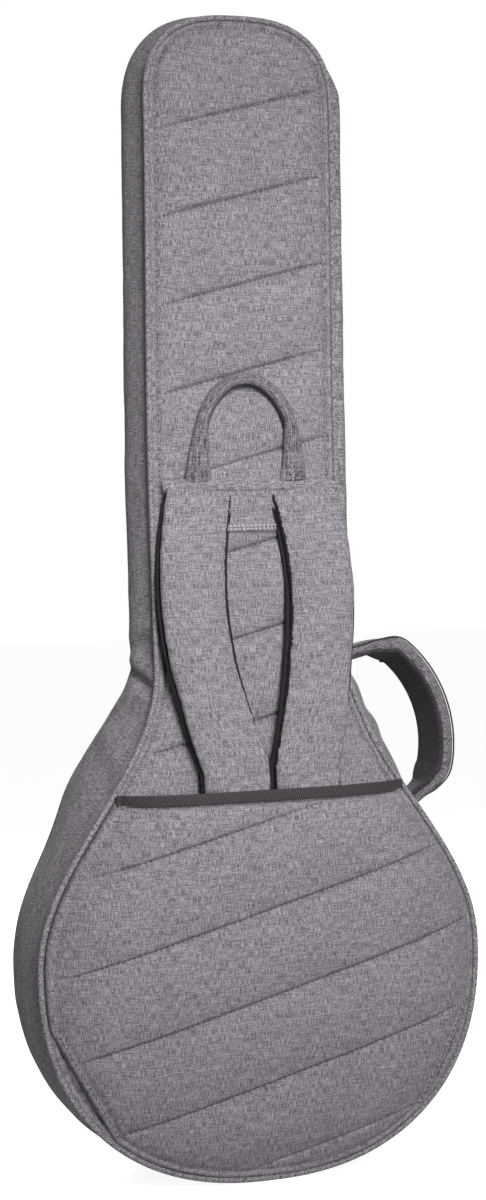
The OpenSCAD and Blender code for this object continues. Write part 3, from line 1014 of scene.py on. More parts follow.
def quilted(columns: int, rows: int, spread: Mapping, depth: Mapping, quilting: Quilting,
            outward: Vector, shift: float = 0.0) -> bmesh.types.BMesh:
    """A quilted sheet: a flat grid, cut along its channels and then raised.

    Args:
        columns: Cells across.
        rows: Cells up.
        spread: Gives each (u, v) its x and z.
        depth: Gives each x and z its y.
        quilting: The channels.
        outward: Direction that the cloth faces.
        shift: Moves the weave, so that pieces differ.

    Returns:
        The raised sheet.
    """

    def flat(u: Array, v: Array) -> Pair:
        """Place and cloth coordinates before the padding."""
        x, z = spread(u, v)
        return stacked(x, 0 * x, z), stacked(x, z + shift)

    bm = mapped(columns, rows, flat, outward=outward)
    quilting.cut(bm)
    places = np.array([v.co for v in bm.verts])
    for vert, y in zip(bm.verts, depth(places[:, 0], places[:, 2])):
        vert.co.y = y
    bm.normal_update()
    return bm


def bulge_share(z: Array, mouth: float) -> Array:
    """How far the pocket stands out at each height, as a share of its mouth."""
    down = np.clip((mouth - z) / mouth, 0, 1)
    return (1 - down ** 3) ** 0.8


@dataclass
class BackPanel:
    """The quilted back panel that rests against the wearer."""

    inset: float = 0.0005
    thickness: float = 0.0014
    quilting: Quilting = Quilting(lines=tuple(0.931 - 0.0763 * k for k in range(8)))
    columns: int = 84
    rows: int = 230
    pocket_line: float = 0.36
    seam_z: float = 0.603
    seam_half: float = 0.080

    def depth(self, x: Array, z: Array) -> Array:
        """The y of the cloth's outer face."""
        beside = 1 + np.exp((np.abs(x) - self.seam_half) / 0.004)
        pressed = 0.50 * np.exp(-((z - self.seam_z) / 0.024) ** 2) / beside
        return -self.quilting.height(x, z, BAG.inside(x, z)) * (1 - pressed)

    def make_cover(self) -> None:
        """The outer cloth with its channels."""

        def spread(u: Array, v: Array) -> Pair:
            """The panel inside its seam."""
            return BAG.fill(u, v, self.inset)

        bm = quilted(self.columns, self.rows, spread, self.depth, self.quilting, TO_BACK)
        make_piece("back_cover", bm, Finish.CLOTH,
                   "case", "back_panel", "back_foam", thickness=self.thickness, fill=0.5)

    def make_stitches(self) -> None:
        """Thread along the quilting and inside the piping."""
        sewn = []
        for line in self.quilting.lines:
            if line > self.pocket_line:
                half = float(BAG.half_width(np.array([line]))[0]) - 0.012
                x = np.linspace(-half, half, 160)
                sewn.append(sew_flat(x, line + self.quilting.slope * x, self.depth))
        x, z = BAG.edge(np.linspace(0, 1, 1400), -self.quilting.hem - 0.0003)
        sewn.append(sew_flat(x, z, self.depth))
        finish_rows("back_stitches", sewn, Finish.THREAD)

    def build(self) -> None:
        """Makes the panel."""
        self.make_cover()
        self.make_stitches()


@dataclass
class SideWall:
    """The gusset that runs round the bag between the two panels, with its zip."""

    neck_bulge: float = 0.0124
    body_bulge: float = 0.0112
    shoulder_bulge: float = 0.0050
    skew: float = 1.7
    handle_skew: float = 0.5
    seam_grow: float = 0.0016
    folds: tuple[tuple[float, float, float, float], ...] = (
        (0.468, 0.25, 0.0046, 0.006), (0.434, -0.35, 0.0060, 0.007),
        (0.398, 0.45, 0.0042, 0.010), (0.352, -0.55, 0.0030, 0.012))
    zip_back: float = 0.0161
    coil_back: float = 0.0091
    coil_front: float = 0.0052

    def bulge(self, z: Array) -> Array:
        """How far the wall bows out at each height."""
        share = eased(np.clip((z - 0.33) / 0.16, 0, 1))
        slack = self.shoulder_bulge * np.exp(-((z - 0.385) / 0.045) ** 2)
        low = 0.35 + 0.65 * np.clip(z / 0.16, 0, 1)
        return low * (self.body_bulge + (self.neck_bulge - self.body_bulge) * share) + slack

    def creases(self, s: Array, t: Array, z: Array) -> Array:
        """Folds where the wall bends inwards at the shoulders.

        Args:
            s: Share along the edge.
            t: Share from the back panel to the zip.
            z: Height of the edge.

        Returns:
            How far the wall moves outwards.
        """
        found = np.zeros_like(s)
        for centre_z, slant, depth, width in self.folds:
            for side in (1, -1):
                middle = BAG.share_at(centre_z)
                here = np.mod(s * side, 1.0)
                along = (here - middle) * BAG.length + slant * (t - 0.4) * 0.08
                strong = np.exp(-((t - 0.35) / 0.33) ** 2)
                found -= depth * strong * np.exp(-(along / width) ** 2)
                found += 0.6 * depth * strong * np.exp(-((along - 1.9 * width) / (1.3 * width)) ** 2)
        return found

    def make_cover(self) -> None:
        """The padded outer cloth of the wall."""

        def mapping(u: Array, v: Array) -> Pair:
            """The wall from the back seam to the zip."""
            z0 = BAG.edge(u)[1]
            y = 0.0004 + (BAG.front(z0) - self.zip_back - 0.0004) * v
            neck = np.clip((z0 - 0.44) / 0.05, 0, 1) * np.clip((1.0 - z0) / 0.05, 0, 1)
            skew = self.skew + (self.handle_skew - self.skew) * (np.mod(u, 1.0) < 0.5) * neck
            bow = 1 - np.abs(2 * v ** skew - 1) ** 2.2
            places = stacked(u * BAG.length, v * 0.1, 0 * v)
            loose = bow * (0.0008 * ripple(places, 0.060, 2.0) + 0.0005 * ripple(places, 0.022, 4.0))
            grow = self.seam_grow + bow * self.bulge(z0) + self.creases(u, v, z0) + loose
            x, z = ((1 - v) * back + v * ahead for back, ahead in zip(BAG.edge(u, grow), FRONT.edge(u, grow)))
            return stacked(x, y, z), stacked(u * BAG.length, y)

        make_piece("side_cover", mapped(960, 30, mapping, closed=True), Finish.CLOTH,
                   "case", "gusset_bottom", "gusset_left", "gusset_right", "gusset_top", "gusset_foam",
                   thickness=CLOTH_THICK, fill=0.5)

    def strip(self, name: str, back: float, front: float, body: str, finish: Finish, *nodes: str,
              grow: float = 0.0030, thickness: float = 0.0010, teeth: float = 0.0) -> None:
        """A tape or coil that follows the edge.

        Args:
            name: Name of the piece.
            back: Distance of its rear edge behind the front.
            front: Distance of its front edge behind the front.
            body: The body that it rides on.
            finish: Its material.
            nodes: CAD nodes that it stands for.
            grow: Distance outside the outline.
            thickness: Thickness of the tape.
            teeth: Height of the coil's teeth.
        """
        pitch = 0.0030

        def mapping(u: Array, v: Array) -> Pair:
            """The strip along the front edge."""
            z0 = FRONT.edge(u)[1]
            y = BAG.front(z0) - back + (back - front) * v
            bow = 1 - (2 * v - 1) ** 2
            tooth = 0.5 + 0.5 * np.sign(np.sin(2 * math.pi * u * BAG.length / pitch))
            x, z = FRONT.edge(u, grow + teeth * bow * (0.55 + 0.45 * tooth))
            return stacked(x, y, z), stacked(u * BAG.length, y)

        columns = 1808 if teeth else 720
        make_piece(name, mapped(columns, 4, mapping, closed=True), finish,
                   body, *nodes, thickness=thickness)

    def make_zip(self) -> None:
        """Both tapes and both halves of the coil."""
        middle = (self.coil_back + self.coil_front) / 2
        self.strip("zip_tape_rear", self.zip_back + 0.001, self.coil_back, "case", Finish.WEBBING,
                   "zip_tape_body")
        self.strip("zip_coil_rear", self.coil_back, middle + 0.0001, "case", Finish.COIL, "zip_chain_body",
                   grow=0.0032, thickness=0.0018, teeth=0.0012)
        self.strip("zip_coil_front", middle - 0.0001, self.coil_front, "lid", Finish.COIL, "zip_chain_lid",
                   grow=0.0032, thickness=0.0018, teeth=0.0012)
        self.strip("zip_tape_front", self.coil_front, -0.0004, "lid", Finish.WEBBING, "zip_tape_lid")

    def piping(self, name: str, body: str, node: str, on_front: bool) -> None:
        """A cloth-covered cord sewn into an edge.

        Args:
            name: Name of the piece.
            body: The body that it rides on.
            node: The CAD node that it stands for.
            on_front: True for the lid's edge.
        """
        radius = 0.0026

        def line(v: Array) -> Array:
            """The middle of the cord round the edge."""
            x, z = (FRONT if on_front else BAG).edge(v, 0.0018)
            y = BAG.front(z) + 0.0006 if on_front else np.full_like(x, -0.0010)
            return stacked(x, y, z)

        def half(v: Array) -> Array:
            """The radius of the cord."""
            return np.full_like(v, radius)

        cord = Sweep(line, FORWARD, half, half, length=BAG.length, ring=True)
        make_piece(name, cord.mesh(10, 900), Finish.PIPING, body, node)

    def build(self) -> None:
        """Makes the wall, its piping and its zip."""
        self.make_cover()
        self.make_zip()
        self.piping("back_piping_cord", "case", "back_piping", False)
        self.piping("front_piping_cord", "lid", "front_piping", True)


# ---------------------------------------------------------------- back pocket


@dataclass
class BackPocket:
    """The quilted pocket over the bout, which the straps tuck into."""

    mouth: float = 0.338
    stand: float = 0.033
    low: float = 0.004
    slit_low: float = 0.045
    slit_high: float = 0.143
    binding_half: float = 0.0050
    thickness: float = 0.0016
    quilting: Quilting = Quilting(lines=(0.313, 0.237, 0.162, 0.087, 0.013), crown=0.0016)
    columns: int = 120
    rows: int = 120

    def half(self, z: Array) -> Array:
        """Half the pocket's width, straight across each corner slit."""
        edge = BAG.half_width(z)
        low, high = (float(BAG.half_width(np.array([h]))[0]) for h in (self.slit_low, self.slit_high))
        share = (z - self.slit_low) / (self.slit_high - self.slit_low)
        chord = low + (high - low) * share
        return np.where((share > 0) & (share < 1), np.minimum(chord, edge), edge) - 0.0008

    def stand_out(self, x: Array, z: Array) -> Array:
        """How far the pocket stands off the back panel."""
        u = np.clip(np.abs(x) / self.half(z), 0, 1)
        return self.stand * (1 - u ** 4) ** 0.7 * bulge_share(z, self.mouth)

    def spread(self, u: Array, v: Array) -> Pair:
        """Spreads a square grid over the pocket."""
        corner_z = 0.030
        corner = float(self.half(np.array([corner_z]))[0])

        def right(b: Array) -> Array:
            """The right edge of the pocket."""
            z = corner_z + (self.mouth - corner_z) * b
            return stacked(self.half(z), z)

        def left(b: Array) -> Array:
            """The left edge of the pocket."""
            return right(b) * [-1, 1]

        def bottom(a: Array) -> Array:
            """The bottom edge of the pocket."""
            share = BAG.share_at(corner_z, 0.0, 0.25)
            x, z = BAG.edge(share * (2 * a - 1), -0.0008)
            return stacked(x * corner / np.abs(x).max(), z + (corner_z - z.max()))

        def top(a: Array) -> Array:
            """The mouth of the pocket."""
            wide = self.half(np.full_like(a, self.mouth))
            return stacked((2 * a - 1) * wide, np.full_like(a, self.mouth))

        return patch(u, v, bottom, right, top, left)

    def rim(self, x: Array, z: Array) -> Array:
        """Distance of each point from the pocket's sewn or hemmed edge."""
        side = np.clip(self.half(z) - np.abs(x), 0, None) * 0.93
        return np.minimum(np.minimum(BAG.inside(x, z), side), np.clip(self.mouth - z - 0.0040, 0, None))

    def depth(self, x: Array, z: Array) -> Array:
        """The y of the cloth's outer face."""
        slit = np.clip((z - self.slit_low) * (self.slit_high - z) / 0.0024, 0, 1)
        lift = 0.0050 * slit * np.exp(-np.clip(self.half(z) - np.abs(x), 0, None) / 0.02)
        return -(0.0012 + lift + self.stand_out(x, z) + self.quilting.height(x, z, self.rim(x, z)))

    def make_cover(self) -> None:
        """The outer cloth with its channels."""
        bm = quilted(self.columns, self.rows, self.spread, self.depth, self.quilting,
                     TO_BACK, shift=0.37)
        make_piece("pocket_cover", bm, Finish.CLOTH,
                   "case", "pocket_panel", thickness=self.thickness, fill=0.3)

    def make_binding(self) -> None:
        """Ribbed tape folded over the mouth."""
        wide = float(self.half(np.array([self.mouth]))[0])

        def line(v: Array) -> Array:
            """The middle of the binding along the mouth."""
            x = (2 * v - 1) * (wide + 0.0026)
            z = np.full_like(x, self.mouth - self.binding_half + 0.001)
            y = -0.0020 - self.stand_out(np.clip(x, -wide + 0.0006, wide - 0.0006), z)
            return stacked(x, y, z)

        tape = Sweep(line, UPWARD, steady(0.0021), steady(self.binding_half), power=5.0, length=2.3 * wide)
        make_piece("pocket_binding_tape", tape.mesh(20, 150), Finish.WEBBING, "case", "pocket_binding")

    def make_stitches(self) -> None:
        """Thread along the quilting and along each corner slit."""
        sewn = []
        for line in self.quilting.lines[:4]:
            half = float(self.half(np.array([line]))[0]) - 0.012
            x = np.linspace(-half, half, 260)
            z = line + self.quilting.slope * x
            keep = (np.abs(x) < self.half(z) - 0.008) & (z < self.mouth - 0.012) & (z > 0.02)
            sewn.append(sew_flat(x[keep], z[keep], self.depth))
        for side in (-1, 1):
            z = np.linspace(self.slit_low + 0.003, self.slit_high - 0.003, 60)
            sewn.append(sew_flat(side * (self.half(z) - 0.0052), z, self.depth))
        finish_rows("pocket_stitches", sewn, Finish.THREAD)

    def make_slit_shade(self, panel: BackPanel) -> None:
        """Cloth inside each corner slit, in the darker copy of the outer cloth: its darkness is painted
        shade.
        """
        sheets = []
        for side in (-1, 1):

            def mapping(u: Array, v: Array, way: int = side) -> Pair:
                """The cloth beside one slit."""
                z = self.slit_low + (self.slit_high - self.slit_low) * v
                near = self.half(z) - 0.010
                far = np.maximum(BAG.half_width(z) - 0.0062, near)
                x = way * (near + (far - near) * u)
                y = panel.depth(x, z) - 0.0009
                return stacked(x, y, z), stacked(x, z)

            sheets.append(new_object(f"slit_{side}", mapped(10, 40, mapping, outward=TO_BACK)))
        piece = join("slit_shade", sheets)
        thicken(piece, 0.0008)
        # Painted shade: the slit cloth takes the darker copy of the cloth for the shadow inside the slit.
        dress(piece, Finish.SHADED_CLOTH)
        on_body(piece, "case")

    def build(self, panel: BackPanel) -> None:
        """Makes the pocket."""
        self.make_slit_shade(panel)
        self.make_cover()
        self.make_binding()
        self.make_stitches()


# ---------------------------------------------------------------- straps


class Side(Enum):
    """The two shoulder straps, with the direction of each from the middle."""

    LEFT = -1
    RIGHT = 1


@dataclass
class ShoulderStrap:
    """One padded strap, from the yoke seam to its tail inside the pocket."""

    side: Side
    width: float = 0.062
    yoke: float = 0.6005
    mouth: float = 0.338
    tail_low: float = 0.232
    knee: float = 0.46843
    knee_reach: float = 0.045
    lean_most: float = 0.005

    def __post_init__(self) -> None:
        """Sets the depth lines of the strap's two faces."""
        self.outer = smooth_line(
            [(0.22, -0.0265), (0.30, -0.0300), (0.338, -0.0308), (0.400, -0.0292), (0.468, -0.0258),
             (0.530, -0.0222), (0.575, -0.0168), (0.601, -0.0098)], 0.010)
        self.inner = smooth_line([(0.22, -0.0150), (0.30, -0.0180), (0.338, -0.0192), (0.468, -0.0132),
                                  (0.575, -0.0050), (0.601, -0.0024)], 0.012)

    @property
    def word(self) -> str:
        """Left or right, as in the node names."""
        return self.side.name.lower()

    def half_gap(self, z: Array) -> Array:
        """Half the distance between the two straps."""
        up = np.clip((z - 0.505) / 0.095, 0, 1)
        down = np.clip((0.505 - z) / 0.147, 0, 1)
        return 0.0275 - 0.0125 * up ** 2 - 0.0267 * down ** 1.7

    def lean(self, z: Array) -> Array:
        """Sideways shift of both straps."""
        return self.lean_most * np.clip((0.450 - z) / 0.092, 0, 1)

    def middle(self, z: Array) -> Array:
        """The x of the strap's middle line."""
        return self.lean(z) + self.side.value * (self.half_gap(z) + self.width / 2)

    def section(self, high: float, low: float, shrink: float, power: float) -> Sweep:
        """The padded section between two heights.

        Args:
            high: Height of the upper end.
            low: Height of the lower end.
            shrink: How much thinner than its full size it starts.
            power: Squareness of the section.
        """

        def heights(v: Array) -> Array:
            """Heights down this length of the strap."""
            return high + (low - high) * v

        def line(v: Array) -> Array:
            """The middle line of this length."""
            z = heights(v)
            return stacked(self.middle(z), (self.outer(z) + self.inner(z)) / 2, z)

        def half_side(v: Array) -> Array:
            """Half the width of the pad."""
            return np.full_like(v, self.width / 2 - shrink)

        def half_up(v: Array) -> Array:
            """Half the thickness of the pad."""
            z = heights(v)
            return (self.inner(z) - self.outer(z)) / 2 - shrink * 0.6

        return Sweep(line, BACKWARD, half_side, half_up, power=power, length=high - low)

    def unroll(self, places: Array) -> Array:
        """Cloth coordinates that wrap over the strap's edges."""
        own = places - np.array(ORIGIN)
        z = own[:, 2]
        across = own[:, 0] - self.middle(z)
        depth = own[:, 1] - (self.outer(z) + self.inner(z)) / 2
        edge = np.clip(np.abs(across) / (self.width / 2), 0, 1) ** 6
        return stacked(across + np.sign(across) * edge * depth, z)

    def bend(self, piece: bpy.types.Object, upper: str, lower: str) -> None:
        """Bakes a piece's placement into its mesh and logs the two strap bodies named for it; it is not
        attached to them.
        """
        upper, lower = f"strap_{self.word}_{upper}", f"strap_{self.word}_{lower}"
        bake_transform(piece)
        LOG.info("%s bends between %s and %s", piece.name, upper, lower)

    def make_pad(self) -> None:
        """The padded length that shows, filled by simulation."""
        section = self.section(self.yoke, self.mouth - 0.002, 0.0010, 4.5)
        piece = new_object(f"strap_{self.word}_pad", section.mesh(44, 90))

        def held(places: Array) -> Array:
            """How firmly each point is sewn down."""
            z = places[:, 2] - ORIGIN.z
            top, foot = z - self.yoke + 0.010, self.mouth + 0.006 - z
            return np.clip(top / 0.006, 0, 1) + np.clip(foot / 0.006, 0, 1)

        Inflation(voxel=0.0030, pressure=3.0, cap=0.0016).fill(piece, lambda p: np.clip(held(p), 0, 1))
        lay_cloth(piece, self.unroll)
        dress(piece, Finish.CLOTH)
        self.line_mesh_and_shade_sides(piece)
        self.bend(piece, "upper", "lower")
        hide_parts(f"strap_{self.word}_upper", f"strap_{self.word}_lower")

    def line_mesh_and_shade_sides(self, piece: bpy.types.Object) -> None:
        """Gives the pad's side wall that faces the other strap the dark mesh: partly the real mesh underside,
        partly painted shade between the straps.
        """
        piece.data.materials.append(material(Finish.LINING))
        centres = np.array([p.center for p in piece.data.polygons]) - np.array(ORIGIN)
        z = centres[:, 2]
        inward = (self.middle(z) - centres[:, 0]) * self.side.value
        behind = centres[:, 1] - self.outer(z)
        # The side wall that takes the dark mesh, which partly stands for the shade between the straps.
        side = (inward > self.width / 2 - 0.0034) & (z < self.yoke - 0.003)
        side &= behind > 0.34 * (self.inner(z) - self.outer(z))
        piece.data.polygons.foreach_set("material_index", side.astype(np.int32))

    def make_mesh_and_edge_shade(self) -> None:
        """The dark mesh lining, a little wider than the pad, which shows as a line along the strap's edges:
        partly the real mesh, partly painted shadow in the gap against the panel.
        """

        def mapping(u: Array, v: Array) -> Pair:
            """The mesh behind the strap."""
            z = self.yoke - 0.005 + (self.mouth - self.yoke) * v
            # 1 mm wider than the pad on each side, so that the dark mesh shows as a painted shadow line along
            # the edges.
            across = (2 * u - 1) * (self.width / 2 + 0.0010) - self.side.value * 0.0005
            x = self.middle(z) + across
            curl = 0.0016 * np.abs(2 * u - 1) ** 8
            y = self.inner(z) + 0.0012 - curl
            return stacked(x, y, z), stacked(across, z)

        piece = new_object(f"strap_{self.word}_mesh", mapped(24, 90, mapping, outward=TO_FRONT))
        thicken(piece, 0.0022)
        baked(piece)
        dress(piece, Finish.LINING)
        self.bend(piece, "upper", "lower")
        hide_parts(f"strap_{self.word}_mesh_upper", f"strap_{self.word}_mesh_lower")

    def make_tail(self) -> None:
        """The end of the padding inside the pocket."""
        section = self.section(self.mouth - 0.0024, self.tail_low, 0.0006, 4.5)
        piece = new_object(f"strap_{self.word}_end", section.mesh(40, 40))
        dress(piece, Finish.CLOTH)
        self.bend(piece, "lower", "tail")
        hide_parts(f"strap_{self.word}_tail")

    def make_buckle(self) -> None:
        """The moulded ladder lock at the end of the tail."""
        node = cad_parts[f"strap_{self.word}_buckle"]
        node.data.materials.clear()
        node.data.materials.append(material(Finish.PLASTIC))

    def build(self) -> None:
        """Makes the strap."""
        self.make_pad()
        self.make_mesh_and_edge_shade()
        self.make_tail()
        self.make_buckle()


@dataclass
class Yoke:
    """The patch and folded seam that hold the strap tops and the haul loop."""

    seam: float = 0.6030
    low: float = 0.5615
    half: float = 0.0795
    row_heights: tuple[float, float] = (0.5668, 0.5640)
    loop_x: float = -0.0040
    loop_z: float = 0.628
    loop_a: float = 0.0442
    loop_b: float = 0.0662
    loop_radius: float = 0.0056
    loop_y: float = -0.011

    def make_patch(self, panel: BackPanel) -> None:
        """The flat patch below the seam, with its dent and its row of light thread."""

        def depth(x: Array, z: Array) -> Array:
            """How far the patch stands out."""
            fold = 0.0030 * np.exp(-((z - 0.5750 - 0.05 * x) / 0.0042) ** 2)
            return panel.depth(x, z) - 0.0013 + fold

        def mapping(u: Array, v: Array) -> Pair:
            """The patch between the straps."""
            x = (2 * u - 1) * (self.half - 0.004)
            z = self.low + (self.seam - self.low) * v
            return stacked(x, depth(x, z), z), stacked(x + 0.11, z)

        piece = new_object("yoke_patch_cloth", mapped(90, 26, mapping, outward=TO_BACK))
        thicken(piece, 0.0012)
        dress(piece, Finish.CLOTH)
        on_body(piece, "case", "yoke_patch")
        x = np.linspace(-self.half + 0.008, self.half - 0.008, 120)
        bold = StitchRow(pitch=0.0038, length=0.0030, radius=0.0009)
        sewn = [sew_flat(x, height + 0.01 * x, depth, bold) for height in self.row_heights]
        finish_rows("yoke_stitches", sewn, Finish.LIGHT_THREAD)

    def make_seam(self) -> None:
        """The folded cloth over the strap tops."""

        def line(v: Array) -> Array:
            """The folded seam over the patch."""
            x = (2 * v - 1) * self.half
            sag = 0.0008 * np.sin(3 * math.pi * v)
            return stacked(x, np.full_like(x, -0.0040), self.seam - 0.0010 + sag)

        fold = Sweep(line, UPWARD, steady(0.0030), steady(0.0052), power=2.0, length=2 * self.half)
        make_piece("yoke_seam_fold", fold.mesh(14, 100), Finish.CLOTH, "case")

    def loop_line(self, v: Array) -> Array:
        """The middle line of the haul loop, from its left foot to its right."""
        turn = math.pi * (1 - v)
        flat = np.clip(np.sin(turn), 0, 1)
        x = self.loop_x + self.loop_a * np.cos(turn)
        z = self.loop_z + self.loop_b * flat
        foot = np.clip((0.16 - np.minimum(v, 1 - v)) / 0.16, 0, 1)
        z = z - 0.024 * foot ** 1.4
        x = x + np.sign(x - self.loop_x) * -0.001 * foot
        y = self.loop_y * (1 - foot ** 1.6) - 0.0045 * foot ** 1.6
        return stacked(x, y, z)

    def make_loop(self) -> None:
        """The rolled haul loop with flat feet and a thin raised seam. The roll takes the darker copy of the
        cloth as painted shade, and the dark band along its inner edge is partly its black lining, partly
        painted shadow.
        """
        length = 0.215

        def foot(v: Array) -> Array:
            """How flat the loop is at its feet."""
            return np.clip((0.15 - np.minimum(v, 1 - v)) / 0.15, 0, 1) ** 1.3

        rolled = Sweep(self.loop_line, BACKWARD, lambda v: self.loop_radius + 0.0070 * foot(v),
                       lambda v: self.loop_radius - 0.0036 * foot(v), power=2.3, length=length)
        parts = [new_object("loop_roll", rolled.mesh(26, 120))]

        def seam_line(v: Array) -> Array:
            """The raised seam along the roll."""
            points = self.loop_line(v)
            ahead, lift, side = sweep_frame(points, BACKWARD(v))
            return points + lift * (self.loop_radius * 0.93 - 0.0036 * foot(v))[:, None] + side * 0.0012

        def inner_line(v: Array) -> Array:
            """The inner edge of the loop."""
            points = self.loop_line(0.13 + 0.74 * v)
            toward = np.array([self.loop_x, 0.0, self.loop_z + 0.010]) - points
            toward[:, 1] = 0
            toward /= np.linalg.norm(toward, axis=1)[:, None]
            return points + toward * 0.0030

        raised = Sweep(seam_line, BACKWARD, steady(0.0008), steady(0.0008), length=length)
        parts.append(new_object("loop_seam", raised.mesh(8, 200)))
        # Dark webbing band inside the loop: partly the real black lining, partly painted shadow under the
        # roll.
        lined = Sweep(inner_line, BACKWARD, steady(0.0034), steady(0.0040), length=0.74 * length)
        parts.append(new_object("loop_lining_and_shade", lined.mesh(12, 100)))
        # Painted shade: the roll takes the darker copy of the cloth.
        dress(parts[0], Finish.SHADED_CLOTH)
        dress(parts[1], Finish.CLOTH)
        dress(parts[2], Finish.WEBBING)
        piece = join("haul_loop_roll", parts)
        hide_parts("haul_loop", "haul_loop_cord", "haul_tabs")
        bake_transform(piece)

    def build(self, panel: BackPanel) -> None:
        """Makes the yoke and the loop."""
        self.make_patch(panel)
        self.make_seam()
        self.make_loop()


# ---------------------------------------------------------------- side handle


@dataclass
class SideHandle:
    """The padded carry handle on the side wall."""

    centre_x: float = 0.080
    centre_z: float = 0.369
    radius: float = 0.1095
    middle_y: float = 0.049
    grip_half: float = 0.019
    arm_half: float = 0.015
    top_angle: float = math.radians(53)
    foot_angle: float = math.radians(-15)
    twist: float = math.radians(14)
    run: float = 0.235
    edge_radius: float = 0.0008

    def line(self, v: Array) -> Array:
        """The middle line, from the upper foot round the grip to the lower foot."""
        angle = self.top_angle + (self.foot_angle - self.top_angle) * np.linspace(0, 1, 40)
        arc = stacked(self.centre_x + self.radius * np.cos(angle),
                      self.centre_z + self.radius * np.sin(angle))
        upper = np.array([[0.086, 0.4490], [0.104, 0.4525], [0.124, 0.4575]])
        lower = np.array([[0.176, 0.3270], [0.160, 0.3155], [0.146, 0.3060]])
        points = np.concatenate([upper, arc[1:-1], lower])
        steps = np.concatenate([[0], np.cumsum(np.linalg.norm(np.diff(points, axis=0), axis=1))])
        fine = np.linspace(0, steps[-1], 600)
        x, z = np.interp(fine, steps, points[:, 0]), np.interp(fine, steps, points[:, 1])
        kernel = np.hanning(31)
        kernel /= kernel.sum()
        pad = 15
        x = np.convolve(np.pad(x, pad, mode="reflect", reflect_type="odd"), kernel, mode="valid")
        z = np.convolve(np.pad(z, pad, mode="reflect", reflect_type="odd"), kernel, mode="valid")
        at = v * fine[-1]
        return stacked(np.interp(at, fine, x), np.full_like(v, self.middle_y), np.interp(at, fine, z))

    @staticmethod
    def pad_share(v: Array) -> Array:
        """0 on the flat arms and 1 on the padded grip."""
        into = np.clip((v - 0.13) / 0.12, 0, 1)
        out = np.clip((0.90 - v) / 0.12, 0, 1)
        return eased(np.minimum(into, out))

    def out(self, v: Array) -> Array:
        """Direction away from the bag's wall at each point."""
        points = self.line(v)
        ahead = np.gradient(points, axis=0)
        away = stacked(-ahead[:, 2], 0 * v, ahead[:, 0])
        away /= np.linalg.norm(away, axis=1)[:, None]
        turn = self.twist * self.pad_share(v)[:, None]
        return away * np.cos(turn) + np.array([0.0, 1.0, 0.0]) * np.sin(turn)

    def half_side(self, v: Array) -> Array:
        """Half the handle's width along y."""
        return self.arm_half + (self.grip_half - self.arm_half) * self.pad_share(v)

    def half_up(self, v: Array) -> Array:
        """Half the handle's thickness."""
        return 0.0050 + 0.0024 * self.pad_share(v)

    def make_grip(self) -> None:
        """Grey outer cloth over the padding, and the flat arms, in the darker copy of the cloth as painted
        shade.
        """
        swept = Sweep(self.line, self.out, lambda v: self.half_side(v) - 0.0006,
                      lambda v: self.half_up(v) - 0.0004, power=4.0, length=self.run)
        piece = new_object("handle_cloth", swept.mesh(36, 130))
        Inflation(voxel=0.0022, pressure=3.0, cap=0.0010).fill(piece)
        lay_cloth(piece, lambda p: stacked(p[:, 1] + 0.5 * (p[:, 0] + p[:, 2]), p[:, 2] - 0.5 * p[:, 0]))
        # Painted shade: the handle, turned away from the light, takes the darker copy of the cloth.
        dress(piece, Finish.SHADED_CLOTH)
        self.swing(piece, "handle_grip", "handle_webbing", "handle_tabs")

    def make_lining(self) -> None:
        """The dark lining on the inner face."""

        def mapping(u: Array, v: Array) -> Pair:
            """The lining inside the grip."""
            along = 0.030 + 0.950 * v
            steps = np.unique(along)
            points, ups = self.line(steps), self.out(steps)
            ahead, up, side = sweep_frame(points, ups)
            row = np.searchsorted(steps, along)
            across = (2 * u - 1) * (self.half_side(along) - 0.0002)
            curl = 0.0016 * np.abs(2 * u - 1) ** 10
            drop = self.half_up(along) + 0.0022 - curl
            place = points[row] + across[:, None] * side[row] - drop[:, None] * up[row]
            return place, stacked(across, along * self.run)

        piece = new_object("handle_inner", mapped(22, 120, mapping, outward=TO_HINGE))
        thicken(piece, 0.0028)
        baked(piece)
        dress(piece, Finish.PADDED_LINING)
        self.swing(piece, "handle_lining")

    def make_edges(self) -> None:
        """Thin dark binding cords along the handle's outer corners."""
        parts = []
        for index, side_sign in enumerate((1, -1)):

            def edge(v: Array, a: int = side_sign) -> Array:
                """One bound edge of the grip."""
                points = self.line(v)
                ahead, up, side = sweep_frame(points, self.out(v))
                return (points + side * (a * (self.half_side(v) - 0.0018))[:, None]
                        + up * (self.half_up(v) - 0.0014)[:, None])

            cord = Sweep(edge, self.out, steady(self.edge_radius), steady(self.edge_radius), length=self.run)
            parts.append(dress(new_object(f"edge_{index}", cord.mesh(8, 150)), Finish.WEBBING))
        piece = join("handle_edging", parts)
        self.swing(piece)

    def swing(self, piece: bpy.types.Object, *nodes: str) -> None:
        """Bakes a piece's placement into its mesh, hides the CAD nodes that it stands for and logs it; it is
        not attached to a body.
        """
        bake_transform(piece)
        if nodes:
            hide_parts(*nodes)
        LOG.info("%s bends between case and side_handle", piece.name)

    def build(self) -> None:
        """Makes the handle."""
        self.make_grip()
        self.make_lining()
        self.make_edges()


# ---------------------------------------------------------------- lid


